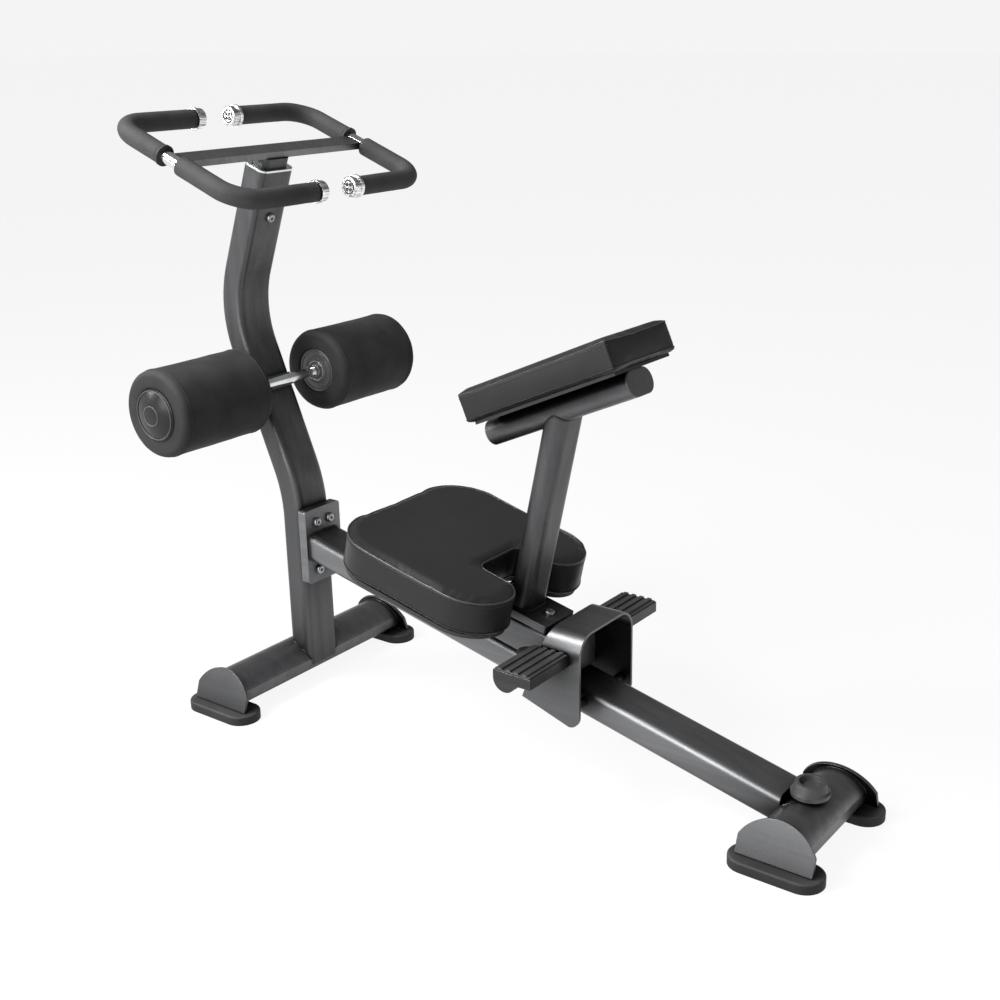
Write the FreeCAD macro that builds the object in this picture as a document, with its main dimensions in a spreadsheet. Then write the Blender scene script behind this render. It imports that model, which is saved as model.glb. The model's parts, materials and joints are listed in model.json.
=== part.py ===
"""Stretching machine: an S-shaped rear post with two foam rollers and a foam-grip handlebar ring,
a sloping beam on two cross feet, a notched seat, a centre post with a tilted pad, and two pedals.

Millimetres, +Z up, +X from the rear foot towards the front foot, +Y to the left of somebody who
sits on the seat and faces the front foot. The origin is on the floor, under the middle of the
whole machine. The machine is symmetric about the XZ plane.
"""
import FreeCAD, Part
import Sketcher
import math
import os
from FreeCAD import Placement, Rotation, Vector

os.makedirs("parts", exist_ok=True)
doc = FreeCAD.newDocument("StretchingMachine")

# ---------------------------------------------------------------- driving dimensions
DIMENSIONS = {
    # where the rear foot stands, and how far in front of it the front foot stands
    "rear_foot_x": -556.3, "foot_spacing": 1208.0,
    # cross feet: an arched tube with leaning end plates, on rubber pads
    "foot_width": 102.0, "foot_side": 25.0, "foot_crown": 34.0, "foot_wall": 3.0,
    "foot_gap": 28.0, "foot_edge_round": 6.0, "rear_half_span": 258.0, "front_half_span": 139.0,
    "end_plate_width": 143.0, "end_plate_side": 33.0, "end_plate_crown": 44.0,
    "end_plate_thick": 6.0, "end_plate_lean": 18.0, "end_plate_gap": 21.5,
    "rubber_length": 176.0, "rubber_width": 74.0, "rubber_thick": 19.0, "rubber_round": 4.0,
    "rubber_overhang": 23.0, "rubber_boss": 16.0, "rubber_boss_inset": 20.0,
    # the rounded tube shared by the rear post and the beam
    "tube_width": 89.0, "tube_depth": 58.0, "tube_round": 15.0, "tube_wall": 3.0,
    # rear post: upright, then leaning back, then leaning forward
    "post_x": 24.5, "post_low_knee": 427.0, "post_high_knee_x": -126.0, "post_high_knee": 802.0,
    "post_top_x": -14.5, "post_top": 1093.0, "post_low_bend": 290.0, "post_high_bend": 225.0,
    # beam and the flange joint that bolts it to the post
    "beam_slope": 12.95, "beam_rise": 331.9, "beam_end": 1171.0, "beam_hollow_end": 1130.0,
    "flange_width": 102.0, "flange_low": 236.0, "flange_high": 398.0, "flange_thick": 10.0,
    "flange_round": 8.0, "flange_bolt_y": 19.0, "flange_bolt_top": 368.0, "flange_bolt_low": 262.0,
    "bolt_head": 9.5, "bolt_head_height": 7.0, "bolt_socket": 3.5, "bolt_shank": 6.0,
    "bolt_hole": 6.25,
    # rollers on one fixed axle
    "roller_x": -22.3, "roller_height": 656.6, "roller_radius": 86.0, "roller_inner": 101.3,
    "roller_outer": 330.7, "roller_round": 13.0, "core_radius": 25.0, "core_setback": 14.0,
    "hub_radius": 47.5, "hub_thick": 4.0, "hub_setback": 6.0, "cap_radius": 51.0,
    "cap_dome": 12.0, "cap_bevel": 3.0, "cap_step": 2.0, "axle_radius": 10.0, "running_gap": 0.05,
    "end_gap": 0.4,
    "axle_collar_radius": 15.0, "axle_collar_length": 14.0, "end_washer_radius": 16.0,
    "end_washer_thick": 2.0, "end_bolt_height": 5.0, "hub_bevel": 3.0, "hub_step": 2.0,
    "saddle_width": 60.0, "saddle_height": 26.0,
    # neck, handlebar ring and its crossbar
    "neck_width": 64.0, "neck_depth": 45.0, "neck_round": 11.0, "neck_wall": 3.0,
    "neck_inside": 170.0, "neck_bolt_down": 97.0, "collar_lip": 4.0, "collar_depth": 25.0,
    "ring_rise": 31.8, "ring_rear": -168.8, "ring_front": 178.8, "ring_half_width": 247.2,
    "ring_bend": 58.0, "ring_end": 42.0, "bar_radius": 12.5, "bar_wall": 2.5,
    "grip_radius": 19.0, "grip_end": 58.0, "grip_rear_stop": -29.0, "grip_front_stop": 21.0,
    "cap_outer_end": 36.0, "cap_body_radius": 20.0, "cap_flange_radius": 22.5,
    "cap_flange_thick": 6.0, "cap_edge_round": 3.0, "grip_ring_radius": 20.5,
    "grip_ring_width": 5.0,
    "crossbar_width": 36.0, "crossbar_thick": 14.0, "crossbar_reach": 480.0,
    # seat group, measured along the beam and square to it
    "seat_start": 245.0, "seat_length": 383.0, "seat_half_width": 199.0, "seat_top": 178.0,
    "seat_pad_thick": 75.0, "seat_board_thick": 8.0, "seat_board_inset": 6.0,
    "seat_pad_round": 7.0, "seat_corner": 100.0, "lobe_middle_shift": 8.0,
    "lobe_outer_arc_x": 27.0, "lobe_outer_arc_y": 26.0, "lobe_inner_arc_x": 12.0,
    "lobe_inner_arc_y": 20.0, "lobe_inner_start": 44.0, "lobe_length": 92.0, "notch_length": 114.0,
    "notch_half_width": 61.0, "notch_round": 16.0,
    "carrier_start": 300.0, "carrier_end": 682.0, "carrier_width": 93.0, "carrier_wall": 4.0,
    "carrier_round": 10.0, "base_bolt_y": 22.0,
    # centre post, its base plate and the pad on top
    "mid_post_at": 597.0, "mid_post_width": 80.0, "mid_post_depth": 48.5, "mid_post_round": 23.0,
    "mid_post_wall": 3.0, "mid_post_blank": 620.0, "base_plate_thick": 16.0,
    "base_plate_rear": 530.0, "base_plate_front": 676.0, "base_plate_round": 4.0, "base_bolt_front": 650.0,
    "base_bolt_rear": 548.0,
    "pad_front_x": 843.3, "pad_front_z": 866.8, "pad_tilt": 23.7, "pad_length": 348.0,
    "pad_width": 200.0, "pad_thick": 66.0, "pad_round": 4.0, "pad_tube_front": 31.0,
    "pad_tube_rear": 361.0, "pad_board_thick": 6.0, "pad_board_inset": 12.0, "plug_thick": 3.0,
    "plug_depth": 18.0,
    # bracket that straddles the beam, and the pedals on its sides
    "bracket_half_width": 91.0, "bracket_sheet": 5.0, "bracket_bend": 42.0,
    "bracket_front": 787.6, "bracket_top": 308.0, "bracket_rear_top": 716.0,
    "bracket_rear_low": 658.0, "bracket_rear_low_z": 159.0, "bracket_toe": 764.0,
    "bracket_toe_z": 125.0, "bracket_front_low": 150.0, "bracket_toe_arc_x": 6.0,
    "bracket_toe_arc_z": 8.0,
    "spacer_radius": 9.0, "spacer_rear": 690.0, "spacer_front": 764.0,
    "pivot_x": 709.5, "pivot_z": 255.0, "pedal_inner": 93.0, "pedal_outer": 213.0,
    "pedal_hub": 24.6, "pedal_reach": 56.5, "pedal_top": 14.5, "pedal_underside": -6.0,
    "pedal_end_wall": 8.0, "tread_base": 2.5, "tread_inset": 2.0, "rib_height": 3.0,
    "rib_pitch": 18.0, "heel_gap": 1.0,
    "heel_radius": 18.0, "heel_height": 26.0, "heel_round": 6.0,
    "spindle_radius": 8.0, "spindle_half": 204.0, "block_half_width": 50.0, "block_half_depth": 19.0,
    # knob on the front foot
    "knob_radius": 35.0, "knob_base": 90.0, "knob_height": 24.0, "stud_radius": 6.0,
    "stud_depth": 30.0, "knob_seat_radius": 24.0, "knob_rim_height": 7.0, "knob_waist_inset": 4.0,
    "knob_waist_height": 10.0, "knob_lip_outer_inset": 8.0, "knob_lip_inner_inset": 14.0,
    "knob_dish_inset": 16.0, "knob_dish_depth": 9.0,
}

# cutting shapes reach this far past the material they cut
CUT_MARGIN = 300.0
# how far an arc through a right-angled corner stays off the corner, as a share of its radius
CORNER_SLACK = 1 - math.sqrt(0.5)

sheet = doc.addObject("Spreadsheet::Sheet", "Dimensions")
for row, (alias, value) in enumerate(DIMENSIONS.items(), start=1):
    sheet.set(f"A{row}", alias)
    sheet.set(f"B{row}", str(value))
    sheet.setAlias(f"B{row}", alias)
doc.recompute()


def dim(alias):
    """The value of one cell, in millimetres or degrees."""
    return float(getattr(sheet, alias))


# ---------------------------------------------------------------- frames the sub-parts stand in
X_AXIS = Vector(1, 0, 0)
Y_AXIS = Vector(0, 1, 0)
Z_AXIS = Vector(0, 0, 1)
HALF_TURN = Rotation(X_AXIS, 180)


def at(x, y, z, pitch=0.0):
    """A place measured from the rear foot, turned about +Y by pitch degrees."""
    return Placement(Vector(dim("rear_foot_x") + x, y, z), Rotation(Y_AXIS, pitch))


def moved(frame, x=0.0, y=0.0, z=0.0, rotation=None):
    """A place given inside another frame."""
    return frame.multiply(Placement(Vector(x, y, z), rotation or Rotation()))


MACHINE = at(0, 0, 0)
BEAM = at(0, 0, dim("beam_rise"), dim("beam_slope"))
PAD = at(dim("pad_front_x"), 0, dim("pad_front_z"), -dim("pad_tilt"))
POST_LEAN = math.degrees(math.atan2(dim("post_top_x") - dim("post_high_knee_x"),
                                    dim("post_top") - dim("post_high_knee")))
POST_TOP = at(dim("post_top_x"), 0, dim("post_top"), POST_LEAN)
RING = moved(POST_TOP, z=dim("ring_rise"))
AXLE = at(dim("roller_x"), 0, dim("roller_height"))
PIVOT = at(dim("pivot_x"), 0, dim("pivot_z"))


def in_frame(frame, x, z):
    """Where a point given from the rear foot lies in another frame, as (x, z)."""
    point = frame.inverse().multVec(Vector(dim("rear_foot_x") + x, 0, z))
    return point.x, point.z


# ---------------------------------------------------------------- modelling helpers
SUBPARTS = []


def keep(thing, placement=None):
    """Note an object as a sub-part and put it in its place."""
    if placement is not None:
        thing.Placement = placement
    SUBPARTS.append(thing)
    return thing


def new_body(name):
    body = doc.addObject("PartDesign::Body", name)
    body.Label = name
    return body


def new_sketch(body, name, role, x=0.0, y=0.0, lift=0.0):
    """A sketch on one of the body's own origin planes, moved within the plane and lifted off it."""
    plane = next(f for f in body.Origin.OriginFeatures if f.Role == role)
    sketch = body.newObject("Sketcher::SketchObject", f"{body.Label}_{name}")
    sketch.AttachmentSupport = (plane, [""])
    sketch.MapMode = "FlatFace"
    sketch.AttachmentOffset = Placement(Vector(x, y, lift), Rotation())
    return sketch


def tilted_sketch(body, name, x, z, pitch):
    """A sketch through (x, 0, z), square to an x axis that is turned about +Y by pitch degrees."""
    sketch = new_sketch(body, name, "YZ_Plane")
    sketch.AttachmentOffset = Placement(Vector(0, z, x), Rotation(X_AXIS, pitch))
    return sketch


def bind(thing, prop, expression):
    """Tie one property to the sheet; every cell is written <<cell>>."""
    text = expression.replace("<<", "Dimensions.").replace(">>", "")
    thing.setExpression(prop, text)


def size(sketch, tag, constraint, expression):
    """Add a dimension to a sketch and tie it to the sheet."""
    index = sketch.addConstraint(constraint)
    sketch.renameConstraint(index, tag)
    bind(sketch, f"Constraints.{tag}", expression)


def rectangle(sketch, tag, width, height):
    """A rectangle centred on the sketch's origin."""
    corners = [Vector(-9, -7, 0), Vector(9, -7, 0), Vector(9, 7, 0), Vector(-9, 7, 0)]
    first = sketch.GeometryCount
    for start, end in zip(corners, corners[1:] + corners[:1]):
        sketch.addGeometry(Part.LineSegment(start, end), False)
    for side in range(4):
        following = first + (side + 1) % 4
        sketch.addConstraint(Sketcher.Constraint("Coincident", first + side, 2, following, 1))
        kind = "Horizontal" if side % 2 == 0 else "Vertical"
        sketch.addConstraint(Sketcher.Constraint(kind, first + side))
    sketch.addConstraint(Sketcher.Constraint("Symmetric", first, 1, first + 1, 2, -1, 1))
    size(sketch, tag + "_width", Sketcher.Constraint("DistanceX", first, 1, first, 2, 18.0), width)
    size(sketch, tag + "_height", Sketcher.Constraint("DistanceY", first + 1, 1, first + 1, 2, 14.0),
         height)


def circle(sketch, tag, radius, x=0.0, y=0.0):
    index = sketch.addGeometry(Part.Circle(Vector(x, y, 0), Z_AXIS, 5.0), False)
    for kind, distance in (("DistanceX", x), ("DistanceY", y)):
        if distance:
            sketch.addConstraint(Sketcher.Constraint(kind, -1, 1, index, 3, distance))
        else:
            axis = -2 if kind == "DistanceX" else -1
            sketch.addConstraint(Sketcher.Constraint("PointOnObject", index, 3, axis))
    size(sketch, tag, Sketcher.Constraint("Radius", index, 5.0), radius)


def arch(sketch, width, side, crown):
    """A flat base on the sketch's x axis, two upright sides and an arched crown."""
    corners = [Vector(-9, 0, 0), Vector(9, 0, 0), Vector(9, 5, 0), Vector(-9, 5, 0)]
    sketch.addGeometry(Part.LineSegment(corners[0], corners[1]), False)
    sketch.addGeometry(Part.LineSegment(corners[1], corners[2]), False)
    sketch.addGeometry(Part.Arc(corners[2], Vector(0, 11, 0), corners[3]), False)
    sketch.addGeometry(Part.LineSegment(corners[3], corners[0]), False)
    for piece in range(4):
        following = (piece + 1) % 4
        sketch.addConstraint(Sketcher.Constraint("Coincident", piece, 2, following, 1))
    sketch.addConstraint(Sketcher.Constraint("PointOnObject", 0, 1, -1))
    sketch.addConstraint(Sketcher.Constraint("Symmetric", 0, 1, 0, 2, -2))
    sketch.addConstraint(Sketcher.Constraint("Vertical", 1))
    sketch.addConstraint(Sketcher.Constraint("Vertical", 3))
    sketch.addConstraint(Sketcher.Constraint("Equal", 1, 3))
    size(sketch, "base", Sketcher.Constraint("DistanceX", 0, 1, 0, 2, 18.0), width)
    size(sketch, "side", Sketcher.Constraint("DistanceY", 1, 1, 1, 2, 5.0), side)
    radius = f"((({width}) / 2) ^ 2 + ({crown}) ^ 2) / (2 * ({crown}))"
    size(sketch, "crown", Sketcher.Constraint("Radius", 2, 10.0), radius)


def rounded_rectangle(sketch, half_x, half_y, corner):
    """A rectangle about the sketch's origin with equally rounded corners."""
    slack = corner * CORNER_SLACK
    path = [(-half_x + corner, -half_y)]
    for sx, sy in ((1, -1), (1, 1), (-1, 1), (-1, -1)):
        level_point = (sx * (half_x - corner), sy * half_y)
        upright_point = (sx * half_x, sy * (half_y - corner))
        via = (sx * (half_x - slack), sy * (half_y - slack))
        first, last = (level_point, upright_point) if sx * sy < 0 else (upright_point, level_point)
        path.append(first)
        path.append((via, last))
    outline(sketch, path[1:])


def outline(sketch, path, closed=True):
    """Lines through the points of a path; a pair of points stands for an arc via the first."""
    pen = path[0]
    for step in path[1:] + ([path[0]] if closed else []):
        if isinstance(step[0], tuple):
            via, end = step
            points = (Vector(*pen, 0), Vector(*via, 0), Vector(*end, 0))
            sketch.addGeometry(Part.Arc(*points), False)
        else:
            end = step
            sketch.addGeometry(Part.LineSegment(Vector(*pen, 0), Vector(*end, 0)), False)
        pen = end


def bent(points, radii):
    """A path through the points with each inner corner rounded to its own radius."""
    path = [points[0]]
    for before, corner, after, radius in zip(points, points[1:], points[2:], radii):
        corner_point = Vector(*corner, 0)
        back = (Vector(*before, 0) - corner_point).normalize()
        ahead = (Vector(*after, 0) - corner_point).normalize()
        half = back.getAngle(ahead) / 2
        inward = (back + ahead).normalize()
        setback = radius / math.tan(half)
        middle = corner_point + inward * (radius / math.sin(half) - radius)
        start = corner_point + back * setback
        end = corner_point + ahead * setback
        path.append((start.x, start.y))
        path.append(((middle.x, middle.y), (end.x, end.y)))
    path.append(points[-1])
    return path


def pad(body, sketch, length, midplane=False, backwards=False):
    feature = body.newObject("PartDesign::Pad", f"{body.Label}_pad")
    feature.Profile = sketch
    bind(feature, "Length", length)
    feature.Midplane = midplane
    feature.Reversed = backwards
    doc.recompute()
    return feature


def pocket(body, sketch, length, midplane=False, backwards=False):
    before = body.Shape.Volume
    feature = body.newObject("PartDesign::Pocket", f"{body.Label}_pocket")
    feature.Profile = sketch
    bind(feature, "Length", length)
    feature.Midplane = midplane
    feature.Reversed = backwards
    doc.recompute()
    if before - body.Shape.Volume < 1.0:
        raise RuntimeError(f"{body.Label}: the pocket removes nothing")
    return feature


def fillet(body, radius, chosen):
    """Round the edges of the body that the test picks."""
    base = body.Tip
    names = [f"Edge{i}" for i, edge in enumerate(base.Shape.Edges, start=1) if chosen(edge)]
    if not names:
        raise RuntimeError(f"{body.Label}: no edge to round")
    feature = body.newObject("PartDesign::Fillet", f"{body.Label}_fillet")
    feature.Base = (base, names)
    bind(feature, "Radius", radius)
    doc.recompute()
    return feature


def pipe(body, profile, spine):
    feature = body.newObject("PartDesign::AdditivePipe", f"{body.Label}_pipe")
    feature.Profile = profile
    feature.Spine = (spine, [f"Edge{i + 1}" for i in range(spine.GeometryCount)])
    doc.recompute()
    return feature


def revolve(body, sketch, axis):
    feature = body.newObject("PartDesign::Revolution", f"{body.Label}_turned")
    feature.Profile = sketch
    feature.ReferenceAxis = (sketch, [axis])
    feature.Angle = 360.0
    doc.recompute()
    return feature


def along(direction):
    """Test for straight edges parallel to a direction."""
    def test(edge):
        if not isinstance(edge.Curve, (Part.Line, Part.LineSegment)):
            return False
        return abs(abs(edge.Curve.Direction.dot(direction)) - 1) < 1e-6
    return test


def level(direction, value):
    """Test for edges that lie wholly in the plane square to a direction at a distance."""
    def test(edge):
        points = edge.discretize(5)
        return all(abs(point.dot(direction) - value) < 1e-4 for point in points)
    return test


def drill(body, tag, role, lift, points, radius, length):
    """Round holes through the body, cut both ways from a lifted sketch."""
    sketch = new_sketch(body, tag, role, lift=lift)
    for number, (x, y) in enumerate(points):
        circle(sketch, f"{tag}_{number}", radius, x, y)
    pocket(body, sketch, length, midplane=True)


def cylinder(name, radius, length, placement):
    thing = doc.addObject("Part::Cylinder", name)
    thing.Label = name
    bind(thing, "Radius", radius)
    bind(thing, "Height", length)
    return keep(thing, placement)


def group(name, shape, placements):
    """Identical separate solids that share one node."""
    copies = [shape.transformed(placement.toMatrix()) for placement in placements]
    thing = doc.addObject("Part::Feature", name)
    thing.Label = name
    thing.Shape = Part.makeCompound(copies)
    return keep(thing)


def bolt(length):
    """A button-head bolt: its head stands on z = 0 and its shank hangs below."""
    height = dim("bolt_head_height")
    head = Part.makeCylinder(dim("bolt_head"), height)
    head = head.makeFillet(height / 2, [e for e in head.Edges if level(Z_AXIS, height)(e)])
    socket = Part.makeCylinder(dim("bolt_socket"), height / 2, Vector(0, 0, height / 2))
    shank = Part.makeCylinder(dim("bolt_shank"), length, Vector(0, 0, -length))
    return head.cut(socket).fuse(shank)


FACING_X = Rotation(Y_AXIS, 90)
FACING_LEFT = Rotation(X_AXIS, -90)
FACING_RIGHT = Rotation(X_AXIS, 90)


# ---------------------------------------------------------------- cross feet
def slanted_end(half_span, side):
    """The region outside the inner face of a leaning end plate, in the foot tube's YZ plane."""
    lean = math.radians(dim("end_plate_lean"))
    inner = half_span - dim("end_plate_thick") / math.cos(lean)
    low = -dim("foot_wall")
    high = dim("foot_side") + dim("foot_crown") + dim("foot_wall")
    to_floor = dim("foot_gap") - dim("end_plate_gap")

    def face(height):
        return inner - (height + to_floor) * math.tan(lean)

    beyond = half_span + dim("foot_width")
    return [(side * face(low), low), (side * beyond, low),
            (side * beyond, high), (side * face(high), high)]


def foot_tube(name, foot_x, span_cell):
    body = new_body(name)
    outer = new_sketch(body, "outer", "XZ_Plane")
    arch(outer, "<<foot_width>>", "<<foot_side>>", "<<foot_crown>>")
    pad(body, outer, f"2 * <<{span_cell}>>", midplane=True)
    long_base_edges = along(Y_AXIS)
    on_floor_side = level(Z_AXIS, 0.0)
    fillet(body, "<<foot_edge_round>>", lambda e: long_base_edges(e) and on_floor_side(e))
    inner = new_sketch(body, "inner", "XZ_Plane", y=dim("foot_wall"))
    arch(inner, "<<foot_width>> - 2 * <<foot_wall>>", "<<foot_side>> - <<foot_wall>>",
         "<<foot_crown>> - <<foot_wall>>")
    pocket(body, inner, f"3 * <<{span_cell}>>", midplane=True)
    for side, tag in ((-1, "right_end"), (1, "left_end")):
        ends = new_sketch(body, tag, "YZ_Plane")
        outline(ends, slanted_end(dim(span_cell), side))
        pocket(body, ends, "2 * <<foot_width>>", midplane=True)
    return keep(body, at(foot_x, 0, dim("foot_gap")))


def end_plate(name, foot_x, half_span, turn):
    """A leaning end plate for the right end of a foot; half a turn takes it to the left end."""
    body = new_body(name)
    sketch = new_sketch(body, "face", "XZ_Plane")
    arch(sketch, "<<end_plate_width>>", "<<end_plate_side>>", "<<end_plate_crown>>")
    pad(body, sketch, "<<end_plate_thick>>", backwards=True)
    end = moved(at(foot_x, 0, 0), rotation=Rotation(Z_AXIS, turn))
    lean = Rotation(X_AXIS, -dim("end_plate_lean"))
    return keep(body, moved(end, y=-half_span, z=dim("end_plate_gap"), rotation=lean))


def rubber_foot_shape():
    """A stadium pad with a boss towards the middle of the machine, drawn for a right-hand end."""
    length, width = dim("rubber_length"), dim("rubber_width")
    radius = width / 2
    straight = length / 2 - radius
    corners = [Vector(-straight, -radius, 0), Vector(straight, -radius, 0),
               Vector(straight, radius, 0), Vector(-straight, radius, 0)]
    edges = [Part.LineSegment(corners[0], corners[1]).toShape(),
             Part.Arc(corners[1], Vector(length / 2, 0, 0), corners[2]).toShape(),
             Part.LineSegment(corners[2], corners[3]).toShape(),
             Part.Arc(corners[3], Vector(-length / 2, 0, 0), corners[0]).toShape()]
    sole = Part.Face(Part.Wire(edges)).extrude(Vector(0, 0, dim("rubber_thick")))
    rim = [edge for edge in sole.Edges if level(Z_AXIS, dim("rubber_thick"))(edge)]
    sole = sole.makeFillet(dim("rubber_round"), rim)
    inset = Vector(0, dim("rubber_boss_inset"), 0)
    return sole.fuse(Part.makeCylinder(dim("rubber_boss"), dim("foot_gap"), inset))


def rubber_foot_place(foot_x, half_span, turn):
    end = moved(at(foot_x, 0, 0), rotation=Rotation(Z_AXIS, turn))
    outward = half_span + dim("rubber_overhang") - dim("rubber_width") / 2
    return moved(end, y=-outward)


FRONT = dim("foot_spacing")
rubber_places = []
for foot, foot_x, span_cell in (("rear", 0.0, "rear_half_span"), ("front", FRONT, "front_half_span")):
    tube = foot_tube(f"{foot}_foot_tube", foot_x, span_cell)
    if foot == "front":
        drill(tube, "stud_hole", "XY_Plane", dim("foot_side") + dim("foot_crown"), [(0, 0)],
              "<<stud_radius>> + <<running_gap>>", "6 * <<foot_wall>>")
    for side, turn in (("right", 0), ("left", 180)):
        end_plate(f"{foot}_end_plate_{side}", foot_x, dim(span_cell), turn)
        rubber_places.append(rubber_foot_place(foot_x, dim(span_cell), turn))
group("rubber_feet", rubber_foot_shape(), rubber_places)


# ---------------------------------------------------------------- rear post
post_spine = bent([(dim("post_x"), 0.0), (dim("post_x"), dim("post_low_knee")),
                   (dim("post_high_knee_x"), dim("post_high_knee")),
                   (dim("post_top_x"), dim("post_top"))],
                  [dim("post_low_bend"), dim("post_high_bend")])
rear_post = new_body("rear_post")
spine = new_sketch(rear_post, "spine", "XZ_Plane")
outline(spine, post_spine, closed=False)
wall = new_sketch(rear_post, "wall", "XY_Plane", x=dim("post_x"))
rounded_rectangle(wall, dim("tube_depth") / 2, dim("tube_width") / 2, dim("tube_round"))
rounded_rectangle(wall, dim("tube_depth") / 2 - dim("tube_wall"),
                  dim("tube_width") / 2 - dim("tube_wall"), dim("tube_round") - dim("tube_wall"))
pipe(rear_post, wall, spine)
foot_in_post = new_sketch(rear_post, "foot_notch", "XZ_Plane", y=dim("foot_gap"))
arch(foot_in_post, "<<foot_width>>", "<<foot_side>>", "<<foot_crown>>")
pocket(rear_post, foot_in_post, "2 * <<tube_width>>", midplane=True)
below_foot = new_sketch(rear_post, "below_foot", "XZ_Plane")
rectangle(below_foot, "below", "2 * <<foot_width>>", "2 * <<foot_gap>> + <<foot_side>>")
pocket(rear_post, below_foot, "2 * <<tube_width>>", midplane=True)
FLANGE_BOLTS = [(-dim("flange_bolt_y"), dim("flange_bolt_top")),
                (dim("flange_bolt_y"), dim("flange_bolt_top")),
                (-dim("flange_bolt_y"), dim("flange_bolt_low")),
                (dim("flange_bolt_y"), dim("flange_bolt_low"))]
post_front = dim("post_x") + dim("tube_depth") / 2
drill(rear_post, "flange_holes", "YZ_Plane", post_front - dim("tube_wall") / 2, FLANGE_BOLTS,
      "<<bolt_hole>>", "2 * <<tube_wall>>")
bolt_place = MACHINE.inverse().multiply(moved(POST_TOP, x=(dim("tube_depth") - dim("tube_wall")) / 2,
                                              z=-dim("neck_bolt_down"))).Base
neck_hole = tilted_sketch(rear_post, "neck_bolt_hole", bolt_place.x, bolt_place.z, POST_LEAN)
circle(neck_hole, "neck_bolt_hole", "<<bolt_hole>>")
pocket(rear_post, neck_hole, "3 * <<tube_wall>>", midplane=True)
keep(rear_post, MACHINE)


def flange(name, x):
    """A plate standing across the machine, bolted through four holes."""
    body = new_body(name)
    middle = (dim("flange_low") + dim("flange_high")) / 2
    face = new_sketch(body, "face", "YZ_Plane", y=middle)
    rectangle(face, "face", "<<flange_width>>", "<<flange_high>> - <<flange_low>>")
    pad(body, face, "<<flange_thick>>")
    fillet(body, "<<flange_round>>", along(X_AXIS))
    drill(body, "holes", "YZ_Plane", 0.0, FLANGE_BOLTS, "<<bolt_hole>>", "4 * <<flange_thick>>")
    return keep(body, at(x, 0, 0))


flange("post_flange", post_front)
flange("beam_flange", post_front + dim("flange_thick"))
beam_start = post_front + 2 * dim("flange_thick")
group("flange_bolts", bolt(2 * dim("flange_thick") + 2 * dim("tube_wall")),
      [at(beam_start, y, z).multiply(Placement(Vector(), FACING_X)) for y, z in FLANGE_BOLTS])


# ---------------------------------------------------------------- beam
def rounded_tube(name, half_x, half_y, wall_thick, corner, start, end):
    """A straight rounded tube from z = start to z = end of its frame."""
    body = new_body(name)
    section = new_sketch(body, "section", "XY_Plane", lift=start)
    rounded_rectangle(section, half_x, half_y, corner)
    rounded_rectangle(section, half_x - wall_thick, half_y - wall_thick, corner - wall_thick)
    pad(body, section, str(end - start))
    return body


beam = new_body("main_beam")
section = new_sketch(beam, "section", "YZ_Plane")
rounded_rectangle(section, dim("tube_width") / 2, dim("tube_depth") / 2, dim("tube_round"))
pad(beam, section, "1.1 * <<foot_spacing>>")
bore = new_sketch(beam, "bore", "YZ_Plane")
rounded_rectangle(bore, dim("tube_width") / 2 - dim("tube_wall"),
                  dim("tube_depth") / 2 - dim("tube_wall"), dim("tube_round") - dim("tube_wall"))
pocket(beam, bore, "<<beam_hollow_end>>", backwards=True)


def beam_point(x, z):
    return in_frame(BEAM, x, z)


behind = new_sketch(beam, "behind_flange", "XZ_Plane")
outline(behind, [beam_point(beam_start, 0), beam_point(beam_start, 2 * CUT_MARGIN),
                 beam_point(-CUT_MARGIN, 2 * CUT_MARGIN), beam_point(-CUT_MARGIN, 0)])
pocket(beam, behind, "2 * <<tube_width>>", midplane=True)
ahead = new_sketch(beam, "ahead_of_foot", "XZ_Plane")
outline(ahead, [beam_point(dim("beam_end"), -CUT_MARGIN), beam_point(dim("beam_end"), CUT_MARGIN),
                beam_point(FRONT + CUT_MARGIN, CUT_MARGIN),
                beam_point(FRONT + CUT_MARGIN, -CUT_MARGIN)])
pocket(beam, ahead, "2 * <<tube_width>>", midplane=True)
half_foot = dim("foot_width") / 2
spring = dim("foot_gap") + dim("foot_side")
crown_top = spring + dim("foot_crown")
in_foot = new_sketch(beam, "in_foot", "XZ_Plane")
outline(in_foot, [beam_point(FRONT - half_foot, 0), beam_point(FRONT - half_foot, spring),
                  (beam_point(FRONT, crown_top), beam_point(FRONT + half_foot, spring)),
                  beam_point(FRONT + half_foot, 0)])
pocket(beam, in_foot, "2 * <<tube_width>>", midplane=True)
keep(beam, BEAM)


# ---------------------------------------------------------------- rollers
cylinder("roller_axle", "<<axle_radius>>", "2 * (<<roller_outer>> - <<core_setback>> + <<end_gap>>)",
         moved(AXLE, y=-(dim("roller_outer") - dim("core_setback") + dim("end_gap")),
               rotation=FACING_LEFT))


def turned(name, profile, placement, role="XY_Plane", axis="H_Axis"):
    """A solid turned from a half profile given as (distance along the axis, radius)."""
    body = new_body(name)
    sketch = new_sketch(body, "profile", role)
    outline(sketch, profile)
    revolve(body, sketch, axis)
    return keep(body, placement)


def half_way(rim, height):
    """Radius at which a shallow spherical dome has sunk by a quarter of its height."""
    sphere = (rim ** 2 + height ** 2) / (2 * height)
    return math.sqrt(sphere ** 2 - (sphere - height / 4) ** 2)


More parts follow.
